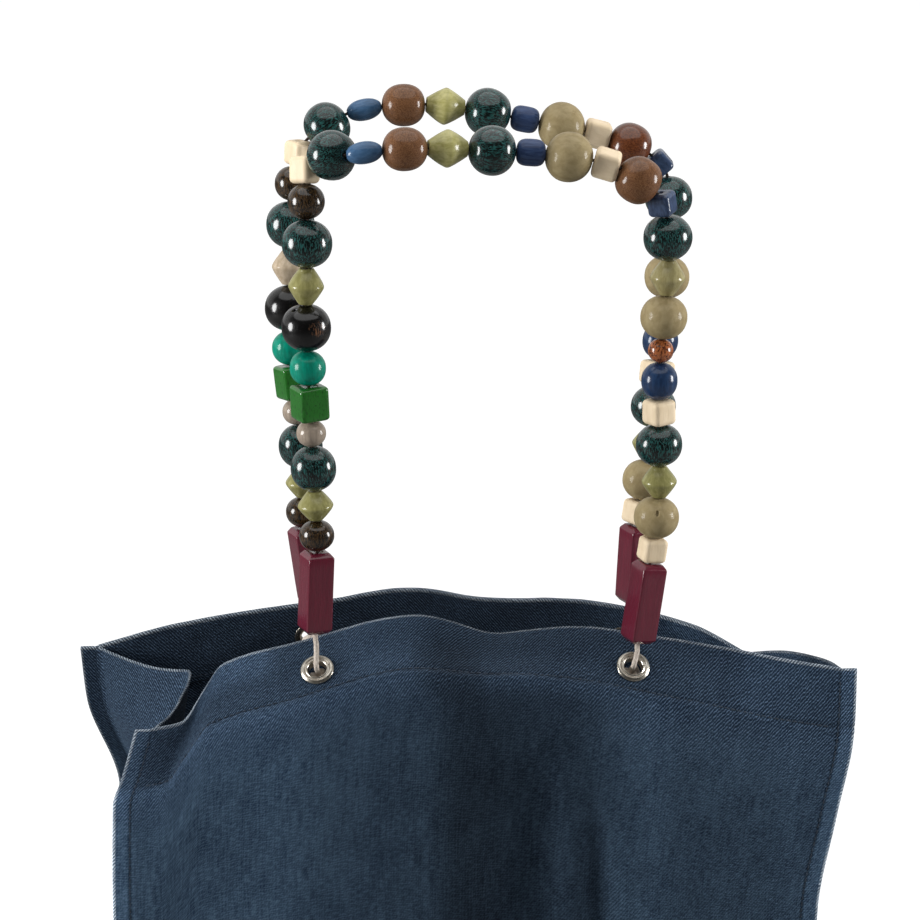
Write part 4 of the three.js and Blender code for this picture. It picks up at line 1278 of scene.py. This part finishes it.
def addBead(side, row, start, end, seed):
    name, form, along, across, turn, look = row
    fullName = side + "_" + name
    look = repainted.get(fullName, look)
    refit = refitted.get(fullName, {})
    along, across = refit.get("size", (along, across))
    centre = (start + end) / 2 + unit(end - start) * refit.get("slide", 0)
    axis = refit.get("axis", unit(end - start))
    marks = beadMarks.get(fullName)
    points, faces = ringStack(beadForms[form](along, across, 3 if marks else 1), closed=True)
    points = handTurned(points, string["wobble"] * across, seed)
    bead = meshObject(fullName + "_bead", points * mm, faces, beadWoods[look])
    standOn(bead, centre, axis, refit.get("turn", turn))
    if marks:
        markBead(bead, fullName, look, marks, across)
    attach(bead, "root")
    if not name.startswith("spacer"):
        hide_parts(fullName)
    return bead


def markBead(bead, fullName, look, marks, across):  # dark hollows in the wood, and scuffs
    points = np.empty(len(bead.data.vertices) * 3, np.float32)
    bead.data.vertices.foreach_get("co", points)
    points = points.reshape(-1, 3) / mm
    stains = []
    for mark in marks:
        local = np.array(bead.matrix_world.to_3x3().inverted() @ Vector(mark["towards"]).normalized())
        centre = local * across / 2
        size = np.array([mark["wide"], mark["wide"], mark["tall"]])
        near = np.linalg.norm((points - centre) / size, axis=1)
        points = points - np.outer(mark["deep"] * np.clip(1 - near ** 2, 0, 1), local)
        stains.append({"centre": tuple(centre * mm), "reach": tuple(size * mm), "ragged": 0.6,
                       "stain": mark["stain"], "scratched": not mark["deep"]})
    bead.data.vertices.foreach_set("co", (points * mm).astype(np.float32).ravel())
    bead.data.materials[0] = makeWood(fullName + "Wood", beadLooks[look], stains)


def knotPath(centre, axis, size):  # an overhand knot pulled tight
    t = np.linspace(0, math.tau, 90)
    loop = np.stack([np.sin(t) + 2 * np.sin(2 * t), np.cos(t) - 2 * np.cos(2 * t), -1.6 * np.sin(3 * t)], -1)
    turned = upright.rotation_difference(Vector(axis)).to_matrix()
    widest = 3.4
    return centre + (loop * size / widest) @ np.array(turned).T


def evenSteps(path, step):
    travelled = distancesAlong(path)
    at = np.linspace(0, travelled[-1], int(travelled[-1] / step) + 1)
    return pointsAt(at, travelled, path)


def addCord(side, beads, seats):
    washerFoot = hem["thickness"] + eyelet["seatGap"] + eyelet["metal"]
    knotRest = math.sqrt((string["knotRadius"] + cloth["seamGap"]) ** 2 - eyelet["hole"] ** 2)
    ends = []
    for end, block in (("left", beads[0][1:]), ("right", beads[-1][:0:-1])):
        seat = seats[end]
        foot, top = block
        knot = seat["centre"] - seat["outward"] * (washerFoot + knotRest)
        outside = seat["centre"] + seat["outward"] * string["reach"]
        inBlock = foot + unit(top - foot) * string["inBlock"]
        slack = blend(outside, foot, string["slack"]) + string["bow"]
        ends.append((knot, [knot, seat["centre"] - seat["outward"], outside, slack, foot, inBlock]))
    threaded = [place for _, start, end in beads[1:-1] for place in (start, end)]
    rows = []
    for _, route in ends:
        path = evenSteps(smoothRoute(route, string["endSteps"]), string["cordStep"])
        rings = tubeRings(path, string["cordRadius"], string["cordSides"], **cordTwist)
        rows.append(ringStack(rings, closed=False))
    path = evenSteps(np.vstack([ends[0][1][-1], *threaded, ends[1][1][-1]]), string["threadStep"])
    rings = tubeRings(path, string["threadRadius"], string["threadSides"])
    thread = ringMesh(side + "_thread", rings, False, beadThread)
    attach(thread, "root")
    for (knot, _), end in zip(ends, ("left", "right")):
        loop = knotPath(knot, seats[end]["outward"], string["knotRadius"] - string["knotCord"])
        rings = tubeRings(loop, string["knotCord"], string["knotSides"], **cordTwist)
        rows.append(ringStack(rings[:-1], closed=True))
    points, faces = joinRows(rows)
    cord = meshObject(side + "_cord", points * mm, faces, cottonCord)
    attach(cord, "root")
    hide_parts(side + "_string")


for side, route, room, seats, firstSeed in (
    ("front", frontRoute, frontRoom, frontSeats, 100),
    ("back", backRoute, backRoom, backSeats, 150),
):
    beads = strungBeads(route, room)
    for number, (row, start, end) in enumerate(beads):
        addBead(side, row, start, end, firstSeed + number)
    addCord(side, beads, seats)
print("bead strings made")


# every mesh closed with its faces pointing out
def faceOutwards():
    bpy.ops.object.select_all(action="DESELECT")
    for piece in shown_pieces():
        bpy.context.view_layer.objects.active = piece
        piece.select_set(True)
    bpy.ops.object.mode_set(mode="EDIT")
    bpy.ops.mesh.select_all(action="SELECT")
    bpy.ops.mesh.normals_make_consistent(inside=False)
    bpy.ops.object.mode_set(mode="OBJECT")


faceOutwards()

# studio
studio = {
    "floorZ": -0.608,
    "floorHalf": 40.0,
    "floorGlow": 0.93,
    "floorGrey": (0.2, 0.2, 0.2, 1.0),
    "frontFill": 0.2,
    "frontSeen": 0.05,
    "backPale": 0.7,
    "aim": (0.0, 0.0, -0.2),
}
softBoxes = {
    "leftBox": {"azimuth": -80, "elevation": 9, "distance": 1.5, "width": 0.6, "height": 0.8, "watts": 24},
    "rightBox": {"azimuth": 80, "elevation": 9, "distance": 1.5, "width": 0.5, "height": 0.7, "watts": 20},
    "topBox": {"azimuth": 0, "elevation": 84, "distance": 1.4, "width": 2.4, "height": 1.8, "watts": 16},
}


def addSoftBoxes():
    for name, box in softBoxes.items():
        data = bpy.data.lights.new(name, "AREA")
        data.shape = "ELLIPSE"
        data.size, data.size_y = box["width"], box["height"]
        data.energy = box["watts"]
        light = addToScene(bpy.data.objects.new(name, data))
        placeAround(light, Vector(studio["aim"]), box["azimuth"], box["elevation"], box["distance"])


def addWorld():  # a white backdrop behind the bag, and a dim room on the camera's side
    world = bpy.data.worlds.new("paleStudio")
    world.use_nodes = True
    tree = world.node_tree
    backdrop = tree.nodes["Background"]
    backdrop.inputs["Color"].default_value = (1.0, 1.0, 1.0, 1.0)
    towards = addNode(tree, "ShaderNodeTexCoord").outputs["Generated"]
    behind = addNode(tree, "ShaderNodeSeparateXYZ", {0: towards}).outputs["Y"]
    path = addNode(tree, "ShaderNodeLightPath").outputs
    front = ramp(tree, path["Is Glossy Ray"], 0.0, 1.0, studio["frontFill"], studio["frontSeen"])
    glow = ramp(tree, behind, 0.0, 0.4, front, studio["backPale"])
    tree.links.new(calc(tree, "MAXIMUM", glow, path["Is Camera Ray"]), backdrop.inputs["Strength"])
    bpy.context.scene.world = world


def addFloor():
    half, z = studio["floorHalf"], studio["floorZ"]
    corners = [(-half, -half, z), (half, -half, z), (half, half, z), (-half, half, z)]
    material, tree, shader = newMaterial("paleFloor")
    seen = addNode(tree, "ShaderNodeLightPath").outputs["Is Camera Ray"]
    glow = calc(tree, "MULTIPLY", seen, studio["floorGlow"])
    setInputs(tree, shader, {"Base Color": studio["floorGrey"], "Roughness": 0.9, "Specular IOR Level": 0.1,
                             "Emission Color": (1.0, 1.0, 1.0, 1.0), "Emission Strength": glow})
    meshObject("floor", corners, [(0, 1, 2, 3)], material)


addSoftBoxes()
addWorld()
addFloor()
print("studio lit")
